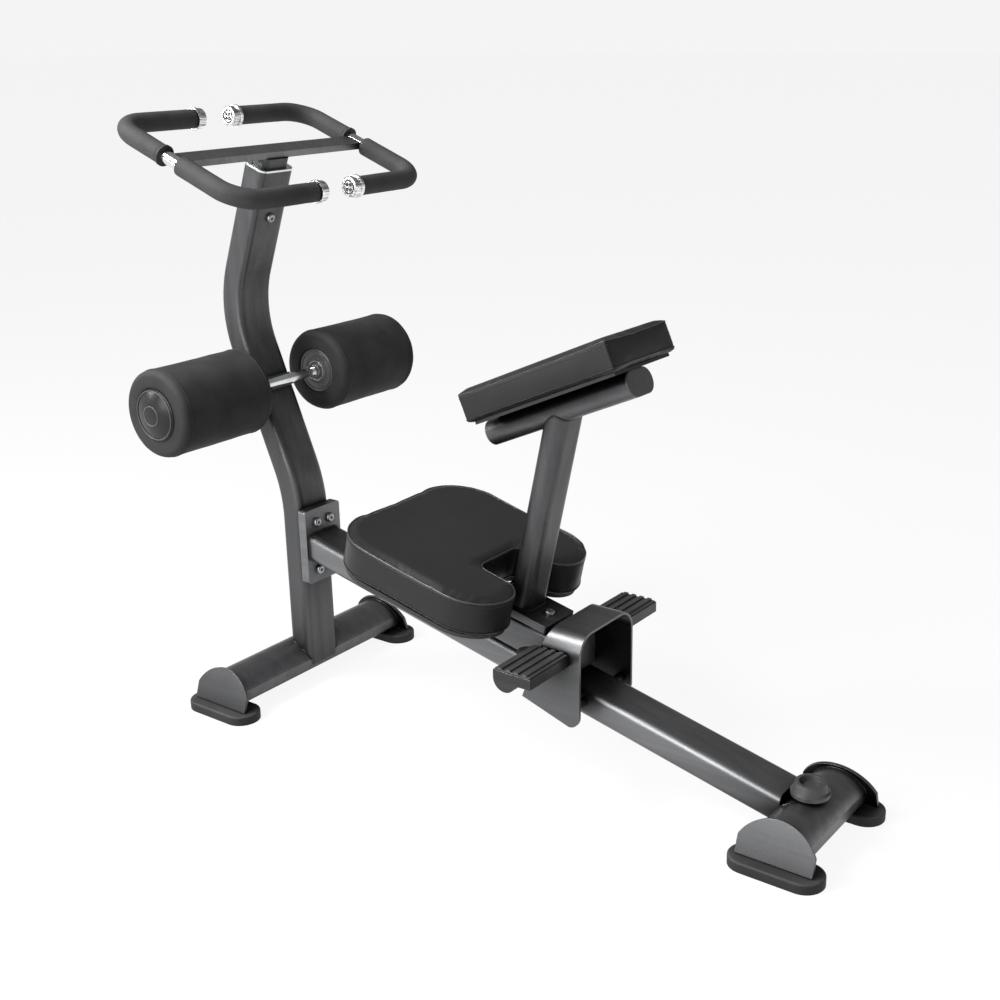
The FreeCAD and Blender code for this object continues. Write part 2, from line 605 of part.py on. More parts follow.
def roller(side, direction):
    """One roller; its profile runs along local x, which points outwards along the axle."""
    frame = moved(AXLE, rotation=Rotation(Z_AXIS, 90 * direction))
    inner, outer = dim("roller_inner"), dim("roller_outer")
    rim, big, core = dim("roller_round"), dim("roller_radius"), dim("core_radius")
    setback, hub, cap = dim("hub_setback"), dim("hub_radius"), dim("cap_radius")
    slack = rim * CORNER_SLACK
    turned(f"roller_{side}_foam",
           [(inner + setback, core), (inner + setback, hub), (inner, hub), (inner, big - rim),
            ((inner + slack, big - slack), (inner + rim, big)), (outer - rim, big),
            ((outer - slack, big - slack), (outer, big - rim)), (outer, cap),
            (outer - setback, cap), (outer - setback, core)], frame)
    bore = dim("axle_radius") + dim("running_gap")
    hub_face = inner + setback - dim("hub_thick")
    core_end = outer - dim("core_setback")
    turned(f"roller_{side}_core",
           [(hub_face, bore), (hub_face, core), (core_end, core), (core_end, bore)], frame)
    turned(f"roller_{side}_hub_ring",
           [(hub_face, core), (hub_face, hub - dim("hub_bevel")), (hub_face + dim("hub_step"), hub),
            (inner + setback, hub), (inner + setback, core)], frame)
    dome_rim, dome_start = cap - dim("cap_bevel"), outer + dim("cap_step")
    dome_height = dim("cap_dome") - dim("cap_step")
    dome_middle = outer + dim("cap_dome") - dome_height / 4
    turned(f"roller_{side}_end_cap",
           [(outer - setback, 0), (outer - setback, cap), (outer, cap), (dome_start, dome_rim),
            ((dome_middle, half_way(dome_rim, dome_height)), (outer + dim("cap_dome"), 0))], frame)
    return core_end + dim("end_gap")


roller("left", 1)
axle_end = roller("right", -1)
washer = Part.makeCylinder(dim("end_washer_radius"), dim("end_washer_thick"))
washer = washer.fuse(Part.makeCylinder(dim("bolt_head"), dim("end_bolt_height")))
collar = Part.makeCylinder(dim("axle_collar_radius"), dim("axle_collar_length"))
collar = collar.cut(Part.makeCylinder(dim("axle_radius"), dim("axle_collar_length")))
collar_end = dim("roller_inner") + dim("hub_setback") - dim("hub_thick") - dim("end_gap")
collar_start = collar_end - dim("axle_collar_length")
group("axle_collars", collar,
      [moved(AXLE, y=collar_start, rotation=FACING_LEFT),
       moved(AXLE, y=-collar_start, rotation=FACING_RIGHT)])
group("axle_end_bolts", washer,
      [moved(AXLE, y=axle_end, rotation=FACING_LEFT), moved(AXLE, y=-axle_end, rotation=FACING_RIGHT)])

# saddle that carries the axle in front of the leaning part of the post
lower_lean = math.degrees(math.atan2(dim("post_high_knee_x") - dim("post_x"),
                                     dim("post_high_knee") - dim("post_low_knee")))
POST_FACE = at(dim("post_x"), 0, dim("post_low_knee"), lower_lean)
axle_out, axle_up = in_frame(POST_FACE, dim("roller_x"), dim("roller_height"))
saddle = new_body("axle_saddle")
saddle_base = new_sketch(saddle, "side", "XZ_Plane")
face = dim("tube_depth") / 2
half_saddle = dim("saddle_height") / 2
outline(saddle_base, [(face, axle_up - half_saddle), (axle_out, axle_up - half_saddle),
                      (axle_out, axle_up + half_saddle), (face, axle_up + half_saddle)])
pad(saddle, saddle_base, "<<saddle_width>>", midplane=True)
drill(saddle, "groove", "XZ_Plane", 0.0, [(axle_out, axle_up)], "<<axle_radius>>",
      "2 * <<saddle_width>>")
keep(saddle, POST_FACE)


# ---------------------------------------------------------------- neck and handlebar ring
def box_section(body, name, half_x, half_y, corner, lift):
    sketch = new_sketch(body, name, "XY_Plane", lift=lift)
    rounded_rectangle(sketch, half_x, half_y, corner)
    return sketch


bore_x = dim("tube_depth") / 2 - dim("tube_wall")
bore_y = dim("tube_width") / 2 - dim("tube_wall")
neck_x, neck_y = dim("neck_depth") / 2, dim("neck_width") / 2
collar = new_body("post_collar")
pad(collar, box_section(collar, "lip", dim("tube_depth") / 2, dim("tube_width") / 2,
                        dim("tube_round"), 0.0), "<<collar_lip>>")
pad(collar, box_section(collar, "sleeve", bore_x, bore_y, dim("tube_round") - dim("tube_wall"), 0.0),
    "<<collar_depth>>", backwards=True)
pocket(collar, box_section(collar, "opening", neck_x, neck_y, dim("neck_round"), 0.0),
       "4 * <<collar_depth>>", midplane=True)
keep(collar, POST_TOP)

neck_top = dim("ring_rise") - dim("crossbar_thick") / 2
neck = rounded_tube("handle_neck", neck_x, neck_y, dim("neck_wall"), dim("neck_round"),
                    -dim("neck_inside"), neck_top)
drill(neck, "bolt_hole", "YZ_Plane", neck_x - dim("neck_wall") / 2, [(0, -dim("neck_bolt_down"))],
      "<<bolt_hole>>", "2 * <<neck_wall>>")
keep(neck, POST_TOP)
group("neck_bolt", bolt(dim("tube_depth") / 2 - neck_x + 2 * dim("neck_wall")),
      [moved(POST_TOP, x=dim("tube_depth") / 2, z=-dim("neck_bolt_down"), rotation=FACING_X)])


def ring_piece(name, stops, radius, inner, flip):
    """A bent tube of the ring between two ends; flip takes it from the left to the right side."""
    body = new_body(name)
    spine = new_sketch(body, "spine", "XY_Plane")
    side = dim("ring_half_width")
    bends = [dim("ring_bend")] * (len(stops) - 2)
    outline(spine, bent(stops, bends), closed=False)
    start_x, start_y = stops[0]
    section = new_sketch(body, "section", "XZ_Plane", x=start_x, lift=-start_y)
    circle(section, "outside", radius)
    circle(section, "inside", inner)
    pipe(body, section, spine)
    return keep(body, moved(RING, rotation=HALF_TURN if flip else None))


rear_x, front_x, side_y = dim("ring_rear"), dim("ring_front"), dim("ring_half_width")
for side, flip in (("left", False), ("right", True)):
    ring_piece(f"handle_tube_{side}",
               [(rear_x, dim("ring_end")), (rear_x, side_y), (front_x, side_y),
                (front_x, dim("ring_end"))], "<<bar_radius>>", "<<bar_radius>> - <<bar_wall>>", flip)
    for end, rail_x, stop in (("rear", rear_x, dim("grip_rear_stop")),
                              ("front", front_x, dim("grip_front_stop"))):
        ring_piece(f"grip_{end}_{side}", [(rail_x, dim("grip_end")), (rail_x, side_y), (stop, side_y)],
                   "<<grip_radius>>", "<<bar_radius>>", flip)


def ring_collar(radius, length):
    outer = Part.makeCylinder(radius, length)
    return outer.cut(Part.makeCylinder(dim("bar_radius"), length))


group("grip_rings", ring_collar(dim("grip_ring_radius"), dim("grip_ring_width")),
      [moved(RING, x=dim("grip_rear_stop"), y=y, rotation=FACING_X) for y in (-side_y, side_y)])

# flanged end caps: local +z runs from the closed outer end towards the foam
cap_length = dim("grip_end") - dim("cap_outer_end")
cap = Part.makeCylinder(dim("cap_body_radius"), cap_length)
cap = cap.makeFillet(dim("cap_edge_round"), [e for e in cap.Edges if level(Z_AXIS, 0.0)(e)])
cap = cap.fuse(Part.makeCylinder(dim("cap_flange_radius"), dim("cap_flange_thick"),
                                 Vector(0, 0, cap_length - dim("cap_flange_thick"))))
cap_bore = dim("ring_end") - dim("cap_outer_end")
cap = cap.cut(Part.makeCylinder(dim("bar_radius"), cap_length, Vector(0, 0, cap_bore)))
cap_places = []
for x in (rear_x, front_x):
    cap_places.append(moved(RING, x=x, y=dim("cap_outer_end"), rotation=FACING_LEFT))
    cap_places.append(moved(RING, x=x, y=-dim("cap_outer_end"), rotation=FACING_RIGHT))
group("handle_end_caps", cap, cap_places)

crossbar = new_body("handle_crossbar")
bar = new_sketch(crossbar, "section", "XZ_Plane")
rectangle(bar, "bar", "<<crossbar_width>>", "<<crossbar_thick>>")
pad(crossbar, bar, "<<crossbar_reach>>", midplane=True)
drill(crossbar, "saddles", "YZ_Plane", 0.0, [(-side_y, 0), (side_y, 0)], "<<bar_radius>>",
      "2 * <<crossbar_width>>")
keep(crossbar, RING)


# ---------------------------------------------------------------- seat
def seat_outline():
    """Plan of the seat: a straight rear, wide rounded corners and two lobes around a notch."""
    width, length = dim("seat_half_width"), dim("seat_length")
    corner = dim("seat_corner")
    corner_slack = corner * CORNER_SLACK
    notch_y, notch_x = dim("notch_half_width"), length - dim("notch_length")
    inner = dim("notch_round")
    slack = inner * CORNER_SLACK
    lobe_start = length - dim("lobe_length")
    lobe_y = (width + notch_y) / 2 - dim("lobe_middle_shift")
    left = [(0, width - corner),
            ((corner_slack, width - corner_slack), (corner, width)),
            (lobe_start, width),
            ((length - dim("lobe_outer_arc_x"), width - dim("lobe_outer_arc_y")), (length, lobe_y)),
            ((length - dim("lobe_inner_arc_x"), notch_y + dim("lobe_inner_arc_y")),
             (length - dim("lobe_inner_start"), notch_y)),
            (notch_x + inner, notch_y),
            ((notch_x + slack, notch_y - slack), (notch_x, notch_y - inner))]
    return left, mirrored(left)


def mirrored(path):
    """The same path drawn backwards on the other side of the x axis."""
    ends = [step if not isinstance(step[0], tuple) else step[1] for step in path]
    back = [(ends[-1][0], -ends[-1][1])]
    for index in range(len(path) - 1, 0, -1):
        x, y = ends[index - 1]
        if isinstance(path[index][0], tuple):
            via_x, via_y = path[index][0]
            back.append(((via_x, -via_y), (x, -y)))
        else:
            back.append((x, -y))
    return back


left_half, right_half = seat_outline()
seat_plan = left_half + right_half
cushion_bottom = dim("seat_top") - dim("seat_pad_thick")
seat = new_body("seat_cushion")
plan = new_sketch(seat, "plan", "XY_Plane", x=dim("seat_start"), lift=cushion_bottom)
outline(plan, seat_plan)
pad(seat, plan, "<<seat_pad_thick>>")
fillet(seat, "<<seat_pad_round>>", level(Z_AXIS, dim("seat_top")))
keep(seat, BEAM)

board_plan = doc.addObject("Sketcher::SketchObject", "seat_board_plan")
outline(board_plan, seat_plan)
board_edge = doc.addObject("Part::Offset2D", "seat_board_edge")
board_edge.Source = board_plan
bind(board_edge, "Value", "-<<seat_board_inset>>")
board_edge.Fill = False
board = doc.addObject("Part::Extrusion", "seat_board")
board.Label = "seat_board"
board.Base = board_edge
board.DirMode = "Custom"
board.Dir = Z_AXIS
board.Solid = True
bind(board, "LengthFwd", "<<seat_board_thick>>")
board_bottom = cushion_bottom - dim("seat_board_thick")
keep(board, moved(BEAM, x=dim("seat_start"), z=board_bottom))

carrier = new_body("seat_carrier")
carrier_rise = board_bottom - dim("tube_depth") / 2
carrier_middle = dim("tube_depth") / 2 + carrier_rise / 2
ends = new_sketch(carrier, "section", "YZ_Plane", y=carrier_middle, lift=dim("carrier_start"))
rounded_rectangle(ends, dim("carrier_width") / 2, carrier_rise / 2, dim("carrier_round"))
rounded_rectangle(ends, dim("carrier_width") / 2 - dim("carrier_wall"),
                  carrier_rise / 2 - dim("carrier_wall"),
                  dim("carrier_round") - dim("carrier_wall"))
pad(carrier, ends, "<<carrier_end>> - <<carrier_start>>")
BASE_BOLTS = [(dim("base_bolt_front"), 0), (dim("base_bolt_rear"), -dim("base_bolt_y")),
              (dim("base_bolt_rear"), dim("base_bolt_y"))]
drill(carrier, "base_holes", "XY_Plane", board_bottom - dim("carrier_wall") / 2, BASE_BOLTS,
      "<<bolt_hole>>", "2 * <<carrier_wall>>")
keep(carrier, BEAM)

# ---------------------------------------------------------------- centre post and its pad
base_plate = new_body("mid_post_base_plate")
plate_middle = (dim("base_plate_rear") + dim("base_plate_front")) / 2
plate = new_sketch(base_plate, "plan", "XY_Plane", x=plate_middle, lift=board_bottom)
rectangle(plate, "plan", "<<base_plate_front>> - <<base_plate_rear>>", "<<carrier_width>>")
pad(base_plate, plate, "<<base_plate_thick>>")
fillet(base_plate, "<<base_plate_round>>", along(Z_AXIS))
drill(base_plate, "holes", "XY_Plane", board_bottom, BASE_BOLTS, "<<bolt_hole>>",
      "4 * <<base_plate_thick>>")
keep(base_plate, BEAM)
plate_top = board_bottom + dim("base_plate_thick")
group("base_plate_bolts", bolt(dim("base_plate_thick") + 2 * dim("carrier_wall")),
      [moved(BEAM, x=x, y=y, z=plate_top) for x, y in BASE_BOLTS])

mid_post = rounded_tube("mid_post", dim("mid_post_depth") / 2, dim("mid_post_width") / 2,
                        dim("mid_post_wall"), dim("mid_post_round"), plate_top,
                        dim("mid_post_blank"))
MID_POST = moved(BEAM, x=dim("mid_post_at"))
pad_tube_z = -dim("pad_thick") - dim("mid_post_depth") / 2


def mid_post_point(x, z):
    """A point of the pad's frame, seen in the centre post's frame."""
    point = MID_POST.inverse().multVec(PAD.multVec(Vector(x, 0, z)))
    return point.x, point.z


def tube_section(sketch, inset=0.0):
    """The pad tube's cross-section, or its bore when inset by the wall."""
    rounded_rectangle(sketch, dim("mid_post_width") / 2 - inset, dim("mid_post_depth") / 2 - inset,
                      dim("mid_post_round") - inset)
    return sketch


# the post is cut off inside the pad tube, then coped to the tube's underside
cut_line = pad_tube_z - dim("mid_post_depth") / 5
above = new_sketch(mid_post, "above_cut", "XZ_Plane")
outline(above, [mid_post_point(CUT_MARGIN, cut_line), mid_post_point(-2 * CUT_MARGIN, cut_line),
                mid_post_point(-2 * CUT_MARGIN, CUT_MARGIN), mid_post_point(CUT_MARGIN, CUT_MARGIN)])
pocket(mid_post, above, "2 * <<mid_post_width>>", midplane=True)
cope_x, cope_z = mid_post_point(-dim("pad_length") / 2, pad_tube_z)
cope = tilted_sketch(mid_post, "cope", cope_x, cope_z, -dim("pad_tilt") - dim("beam_slope"))
pocket(mid_post, tube_section(cope), "2 * <<pad_length>>", midplane=True)
keep(mid_post, MID_POST)

pad_tube = new_body("pad_tube")
pad(pad_tube, tube_section(new_sketch(pad_tube, "outside", "YZ_Plane")),
    "<<pad_tube_rear>> - <<pad_tube_front>>", backwards=True)
pocket(pad_tube, tube_section(new_sketch(pad_tube, "bore", "YZ_Plane"), dim("mid_post_wall")),
       "4 * <<pad_length>>", midplane=True)
keep(pad_tube, moved(PAD, x=-dim("pad_tube_front"), z=pad_tube_z))


def tube_plug(side):
    """A moulded plug: its cover hides the tube's end and its stem fills the bore."""
    body = new_body(f"pad_tube_plug_{side}")
    pad(body, tube_section(new_sketch(body, "cover", "YZ_Plane")), "<<plug_thick>>")
    pad(body, tube_section(new_sketch(body, "stem", "YZ_Plane"), dim("mid_post_wall")),
        "<<plug_depth>>", backwards=True)
    fillet(body, "<<plug_thick>> / 2", level(X_AXIS, dim("plug_thick")))
    outwards = Rotation(Z_AXIS, 0 if side == "front" else 180)
    end = dim("pad_tube_front") if side == "front" else dim("pad_tube_rear")
    return keep(body, moved(PAD, x=-end, z=pad_tube_z, rotation=outwards))


tube_plug("front")
tube_plug("rear")


def pad_slab(name, length, width, top, thickness):
    """A rectangular layer of the pad, centred under it, hanging down from its top height."""
    body = new_body(name)
    plan = new_sketch(body, "plan", "XY_Plane", x=-dim("pad_length") / 2, lift=top)
    rectangle(plan, "plan", length, width)
    pad(body, plan, thickness, backwards=True)
    return keep(body, PAD)


pad_slab("pad_board", "<<pad_length>> - 2 * <<pad_board_inset>>",
         "<<pad_width>> - 2 * <<pad_board_inset>>",
         dim("pad_board_thick") - dim("pad_thick"), "<<pad_board_thick>>")
upper_pad = pad_slab("upper_pad", "<<pad_length>>", "<<pad_width>>", 0.0,
                     "<<pad_thick>> - <<pad_board_thick>>")
bottom_edges = level(Z_AXIS, dim("pad_board_thick") - dim("pad_thick"))
fillet(upper_pad, "<<pad_round>>", lambda edge: not bottom_edges(edge))

# ---------------------------------------------------------------- bracket and pedals
bracket = new_body("foot_bracket")
side_plate = new_sketch(bracket, "side_view", "XZ_Plane")
toe, toe_z = dim("bracket_toe"), dim("bracket_toe_z")
front, front_low = dim("bracket_front"), dim("bracket_front_low")
outline(side_plate, [(dim("bracket_rear_top"), dim("bracket_top")), (front, dim("bracket_top")),
                     (front, front_low),
                     ((front - dim("bracket_toe_arc_x"), toe_z + dim("bracket_toe_arc_z")),
                      (toe, toe_z)),
                     (dim("bracket_rear_low"), dim("bracket_rear_low_z"))])
pad(bracket, side_plate, "2 * <<bracket_half_width>>", midplane=True)
top_edges = level(Z_AXIS, dim("bracket_top"))
fillet(bracket, "<<bracket_bend>>", lambda e: top_edges(e) and along(X_AXIS)(e))
inside = new_sketch(bracket, "inside", "YZ_Plane")
inner_y = dim("bracket_half_width") - dim("bracket_sheet")
inner_z = dim("bracket_top") - dim("bracket_sheet")
inner_bend = dim("bracket_bend") - dim("bracket_sheet")
outline(inside, bent([(-inner_y, 0), (-inner_y, inner_z), (inner_y, inner_z), (inner_y, 0)],
                     [inner_bend] * 2))
pocket(bracket, inside, "4 * <<bracket_front>>", midplane=True)
drill(bracket, "spindle_holes", "XZ_Plane", 0.0, [(dim("pivot_x"), dim("pivot_z"))],
      "<<spindle_radius>>", "4 * <<bracket_half_width>>")
keep(bracket, MACHINE)


def beam_height(x):
    """Height of the beam's centre line at a distance from the rear foot."""
    return dim("beam_rise") - x * math.tan(math.radians(dim("beam_slope")))


def beam_top(x):
    return beam_height(x) + dim("tube_depth") / 2 / math.cos(math.radians(dim("beam_slope")))


spacer = Part.makeCylinder(dim("spacer_radius"), inner_y - dim("tube_width") / 2)
spacer_places = []
for x in (dim("spacer_rear"), dim("spacer_front")):
    spacer_places.append(moved(at(x, dim("tube_width") / 2, beam_height(x)), rotation=FACING_LEFT))
    spacer_places.append(moved(at(x, -dim("tube_width") / 2, beam_height(x)), rotation=FACING_RIGHT))
group("bracket_spacers", spacer, spacer_places)

cylinder("pedal_spindle", "<<spindle_radius>>", "2 * <<spindle_half>>",
         moved(PIVOT, y=-dim("spindle_half"), rotation=FACING_LEFT))
spindle_block = new_body("spindle_block")
shape = new_sketch(spindle_block, "side_view", "XZ_Plane")
half = dim("block_half_depth")
pivot_x, pivot_z = dim("pivot_x"), dim("pivot_z")
outline(shape, [(pivot_x - half, beam_top(pivot_x - half)), (pivot_x + half, beam_top(pivot_x + half)),
                (pivot_x + half, pivot_z), ((pivot_x, pivot_z + half), (pivot_x - half, pivot_z))])
pad(spindle_block, shape, "2 * <<block_half_width>>", midplane=True)
drill(spindle_block, "bore", "XZ_Plane", 0.0, [(pivot_x, pivot_z)], "<<spindle_radius>>",
      "4 * <<block_half_width>>")
keep(spindle_block, MACHINE)


def ribbed_profile():
    """Side view of the tread: a thin base with square ribs across it."""
    start = dim("tread_inset") - dim("pedal_hub")
    end = dim("pedal_reach") - dim("tread_inset")
    low, pitch = dim("pedal_top"), dim("rib_pitch")
    base = low + dim("tread_base")
    top = base + dim("rib_height")
    count = int((end - start) // pitch)
    margin = (end - start - count * pitch) / 2
    path = [(start, low), (end, low), (end, base)]
    for number in range(count, 0, -1):
        right = start + margin + number * pitch - pitch * 0.25
        left = right - pitch * 0.5
        path += [(right, base), (right, top), (left, top), (left, base)]
    return path + [(start, base)]


def pedal(side, sign):
    """One pedal in the pivot's frame: a hub and tread, a ribbed cover and a rubber heel."""
    hub, reach = dim("pedal_hub"), dim("pedal_reach")
    top, under = dim("pedal_top"), dim("pedal_underside")
    start = dim("pedal_inner")
    body = new_body(f"pedal_{side}_frame")
    view = new_sketch(body, "side_view", "XZ_Plane", lift=-sign * start)
    outline(view, [(-hub, top), (-hub, 0), ((0, -hub), (hub, 0)), (hub, under), (reach, under),
                   (reach, top)])
    pad(body, view, "<<pedal_outer>> - <<pedal_inner>>", backwards=sign > 0)
    bore = new_sketch(body, "bore", "XZ_Plane", lift=-sign * start)
    circle(bore, "bore", "<<spindle_radius>> + <<running_gap>>")
    pocket(body, bore, "<<pedal_outer>> - <<pedal_inner>> - <<pedal_end_wall>>", backwards=sign < 0)
    keep(body, PIVOT)
    tread = new_body(f"pedal_{side}_tread")
    ribs = new_sketch(tread, "side_view", "XZ_Plane", lift=-sign * (start + dim("tread_inset")))
    outline(ribs, ribbed_profile())
    pad(tread, ribs, "<<pedal_outer>> - <<pedal_inner>> - 2 * <<tread_inset>>", backwards=sign > 0)
    keep(tread, PIVOT)
    heel = new_body(f"pedal_{side}_heel")
    radius = dim("heel_radius")
    near = sign * (start + dim("heel_gap"))
    far = near + sign * 2 * radius
    plan = new_sketch(heel, "plan", "XY_Plane", lift=top - dim("heel_height"))
    outline(plan, [(-hub, near), ((-hub - radius, (near + far) / 2), (-hub, far))])
    pad(heel, plan, "<<heel_height>>")
    fillet(heel, "<<heel_round>>", lambda e: isinstance(e.Curve, Part.Circle))
    keep(heel, PIVOT)


pedal("left", 1)
pedal("right", -1)

# ---------------------------------------------------------------- knob on the front foot
KNOB = at(FRONT, 0, 0)
seat_ring = doc.addObject("Part::Cylinder", "knob_seat_blank")
bind(seat_ring, "Radius", "<<knob_seat_radius>>")
bind(seat_ring, "Height", "<<foot_crown>>")
seat_ring.Placement = Placement(Vector(0, 0, dim("knob_base") - dim("foot_crown")), Rotation())
crown_radius = (half_foot ** 2 + dim("foot_crown") ** 2) / (2 * dim("foot_crown"))
crown_tool = doc.addObject("Part::Cylinder", "crown_tool")
crown_tool.Radius = crown_radius
bind(crown_tool, "Height", "4 * <<knob_radius>>")
crown_tool.Placement = Placement(Vector(0, 2 * dim("knob_radius"), crown_top - crown_radius),
                                 FACING_RIGHT)
ring_cut = doc.addObject("Part::Cut", "knob_seat_ring")
ring_cut.Base = seat_ring
ring_cut.Tool = crown_tool
stud_tool = doc.addObject("Part::Cylinder", "stud_tool")
bind(stud_tool, "Radius", "<<stud_radius>> + <<running_gap>>")
bind(stud_tool, "Height", "2 * <<knob_base>>")
knob_seat = doc.addObject("Part::Cut", "knob_seat")
knob_seat.Label = "knob_seat"
knob_seat.Base = ring_cut
knob_seat.Tool = stud_tool
keep(knob_seat, KNOB)

radius, base = dim("knob_radius"), dim("knob_base") + dim("end_gap")
top, dish = base + dim("knob_height"), base + dim("knob_height") - dim("knob_dish_depth")
turned("front_knob",
       [(0, base - dim("stud_depth")), (dim("stud_radius"), base - dim("stud_depth")),
        (dim("stud_radius"), base), (radius, base), (radius, base + dim("knob_rim_height")),
        (radius - dim("knob_waist_inset"), base + dim("knob_waist_height")),
        (radius - dim("knob_lip_outer_inset"), top), (radius - dim("knob_lip_inner_inset"), top),
        (radius - dim("knob_dish_inset"), dish), (0, dish)],
       KNOB, role="XZ_Plane", axis="V_Axis")

# ---------------------------------------------------------------- check and write
doc.recompute()
for thing in doc.Objects:
    broken = [word for word in ("Invalid", "Error") if word in thing.State]
    if broken:
        raise RuntimeError(f"{thing.Label}: {broken}")
for thing in SUBPARTS:
    shape = thing.Shape
    if shape.isNull() or not shape.isValid() or not shape.Solids:
        raise RuntimeError(f"{thing.Label}: no valid solid")
    shape.exportStep(f"parts/{thing.Label}.step")
    box = shape.BoundBox
    print(f"{thing.Label}: {len(shape.Solids)} solid, x {box.XMin:.1f}..{box.XMax:.1f}, "
          f"y {box.YMin:.1f}..{box.YMax:.1f}, z {box.ZMin:.1f}..{box.ZMax:.1f}")
print(len(SUBPARTS), "sub-parts")
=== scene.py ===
"""Looks of the stretching machine: materials, upholstery, foam, welds, stage, lights and camera."""

import json
import math

import bmesh
import bpy
import numpy as np
from mathutils import Matrix, Vector, noise
from mathutils.bvhtree import BVHTree


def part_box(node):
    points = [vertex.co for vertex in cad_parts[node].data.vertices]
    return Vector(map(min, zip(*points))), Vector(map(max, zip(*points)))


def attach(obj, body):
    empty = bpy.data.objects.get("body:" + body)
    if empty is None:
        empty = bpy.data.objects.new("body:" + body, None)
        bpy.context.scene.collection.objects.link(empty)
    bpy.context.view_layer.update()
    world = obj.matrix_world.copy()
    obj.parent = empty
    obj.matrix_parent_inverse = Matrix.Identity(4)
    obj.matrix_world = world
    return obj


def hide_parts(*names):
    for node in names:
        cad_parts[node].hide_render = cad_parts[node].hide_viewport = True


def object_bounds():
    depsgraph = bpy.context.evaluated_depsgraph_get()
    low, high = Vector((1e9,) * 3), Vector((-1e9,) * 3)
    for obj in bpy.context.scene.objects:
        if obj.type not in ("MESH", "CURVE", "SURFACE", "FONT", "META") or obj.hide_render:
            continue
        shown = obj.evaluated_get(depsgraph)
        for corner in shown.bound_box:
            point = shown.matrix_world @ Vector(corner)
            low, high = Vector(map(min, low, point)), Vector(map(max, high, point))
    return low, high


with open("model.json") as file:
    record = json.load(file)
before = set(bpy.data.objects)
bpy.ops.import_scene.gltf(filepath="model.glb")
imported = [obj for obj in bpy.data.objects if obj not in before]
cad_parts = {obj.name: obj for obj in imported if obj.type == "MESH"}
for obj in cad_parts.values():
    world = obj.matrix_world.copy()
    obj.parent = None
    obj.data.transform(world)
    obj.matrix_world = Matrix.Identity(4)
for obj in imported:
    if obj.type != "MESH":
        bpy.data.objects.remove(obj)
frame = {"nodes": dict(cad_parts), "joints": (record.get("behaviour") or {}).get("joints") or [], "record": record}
NODES = frame["nodes"]
CAD_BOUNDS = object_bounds()
SCENE = bpy.context.scene

# ---------------------------------------------------------------- where things are
# lengths are in metres
BEAM_SLOPE = math.radians(12.95)
PAD_TILT = math.radians(23.7)
RING_TILT = math.radians(20.96)
# how far the rear post leans back where it carries the axle
AXLE_LEAN = math.radians(21.87)
JOINTS = {joint["name"]: Vector(joint["pos_m"]) for joint in frame["joints"]}
# both rollers turn on this line, which runs along +Y
AXLE = JOINTS["roller_left_spin"]


def centre(node):
    """The middle of a CAD node's box."""
    low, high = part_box(node)
    return (low + high) / 2


def tilted(origin, pitch):
    """A frame at a point, turned about +Y so that its x axis points down by pitch."""
    return Matrix.Translation(origin) @ Matrix.Rotation(pitch, 4, "Y")


# ---------------------------------------------------------------- node helpers for materials
# sockets of the Mix node while it mixes colours
MIX_FIRST, MIX_SECOND, MIX_RESULT = 6, 7, 2


def new_material(name):
    """A node material, with its tree and its main shader."""
    material = bpy.data.materials.new(name)
    material.use_nodes = True
    tree = material.node_tree
    shader = tree.nodes["Principled BSDF"]
    return material, tree, shader


def add(tree, kind, **values):
    """A shader node with some of its inputs or properties set by name."""
    node = tree.nodes.new(kind)
    for name, value in values.items():
        label = name.replace("_", " ")
        if label in node.inputs:
            node.inputs[label].default_value = value
        else:
            setattr(node, name, value)
    return node


def object_noise(tree, scale, detail=3.0, roughness=0.5, stretch=(1, 1, 1)):
    """Noise over the object's own coordinates, optionally stretched to make streaks."""
    coordinates = add(tree, "ShaderNodeTexCoord")
    mapping = add(tree, "ShaderNodeMapping", Scale=stretch)
    pattern = add(tree, "ShaderNodeTexNoise", Scale=scale, Detail=detail, Roughness=roughness)
    tree.links.new(coordinates.outputs["Object"], mapping.inputs["Vector"])
    tree.links.new(mapping.outputs["Vector"], pattern.inputs["Vector"])
    return pattern.outputs["Fac"], mapping.outputs["Vector"]


def ramp(tree, value, low, high, start=0.35, end=0.65):
    """Spread a 0..1 pattern between two colours or two grey levels."""
    node = add(tree, "ShaderNodeValToRGB")
    for element, position, colour in zip(node.color_ramp.elements, (start, end), (low, high)):
        element.position = position
        element.color = (*colour, 1.0) if isinstance(colour, tuple) else (colour,) * 3 + (1.0,)
    tree.links.new(value, node.inputs["Fac"])
    return node.outputs["Color"]


def bumps(tree, shader, height, strength, distance, edge_radius=0.0):
    """Feed a height pattern, over softened edges, into the shader's normal."""
    bump = add(tree, "ShaderNodeBump", Strength=strength, Distance=distance)
    tree.links.new(height, bump.inputs["Height"])
    if edge_radius:
        bevel = add(tree, "ShaderNodeBevel", samples=4, Radius=edge_radius)
        tree.links.new(bevel.outputs["Normal"], bump.inputs["Normal"])
    tree.links.new(bump.outputs["Normal"], shader.inputs["Normal"])


def multiplied(tree, first, second):
    """The product of two colours."""
    mix = add(tree, "ShaderNodeMix", data_type="RGBA", blend_type="MULTIPLY")
    mix.inputs["Factor"].default_value = 1.0
    tree.links.new(first, mix.inputs[MIX_FIRST])
    tree.links.new(second, mix.inputs[MIX_SECOND])
    return mix.outputs[MIX_RESULT]


def painted_shade(tree, reach, darkest, start=0.4):
    """Painted shade: a grey that falls off in corners and under overhangs, wherever other surfaces are near."""
    nearby = add(tree, "ShaderNodeAmbientOcclusion", samples=4, Distance=reach)
    return ramp(tree, nearby.outputs["AO"], darkest, 1.0, start=start, end=0.92)


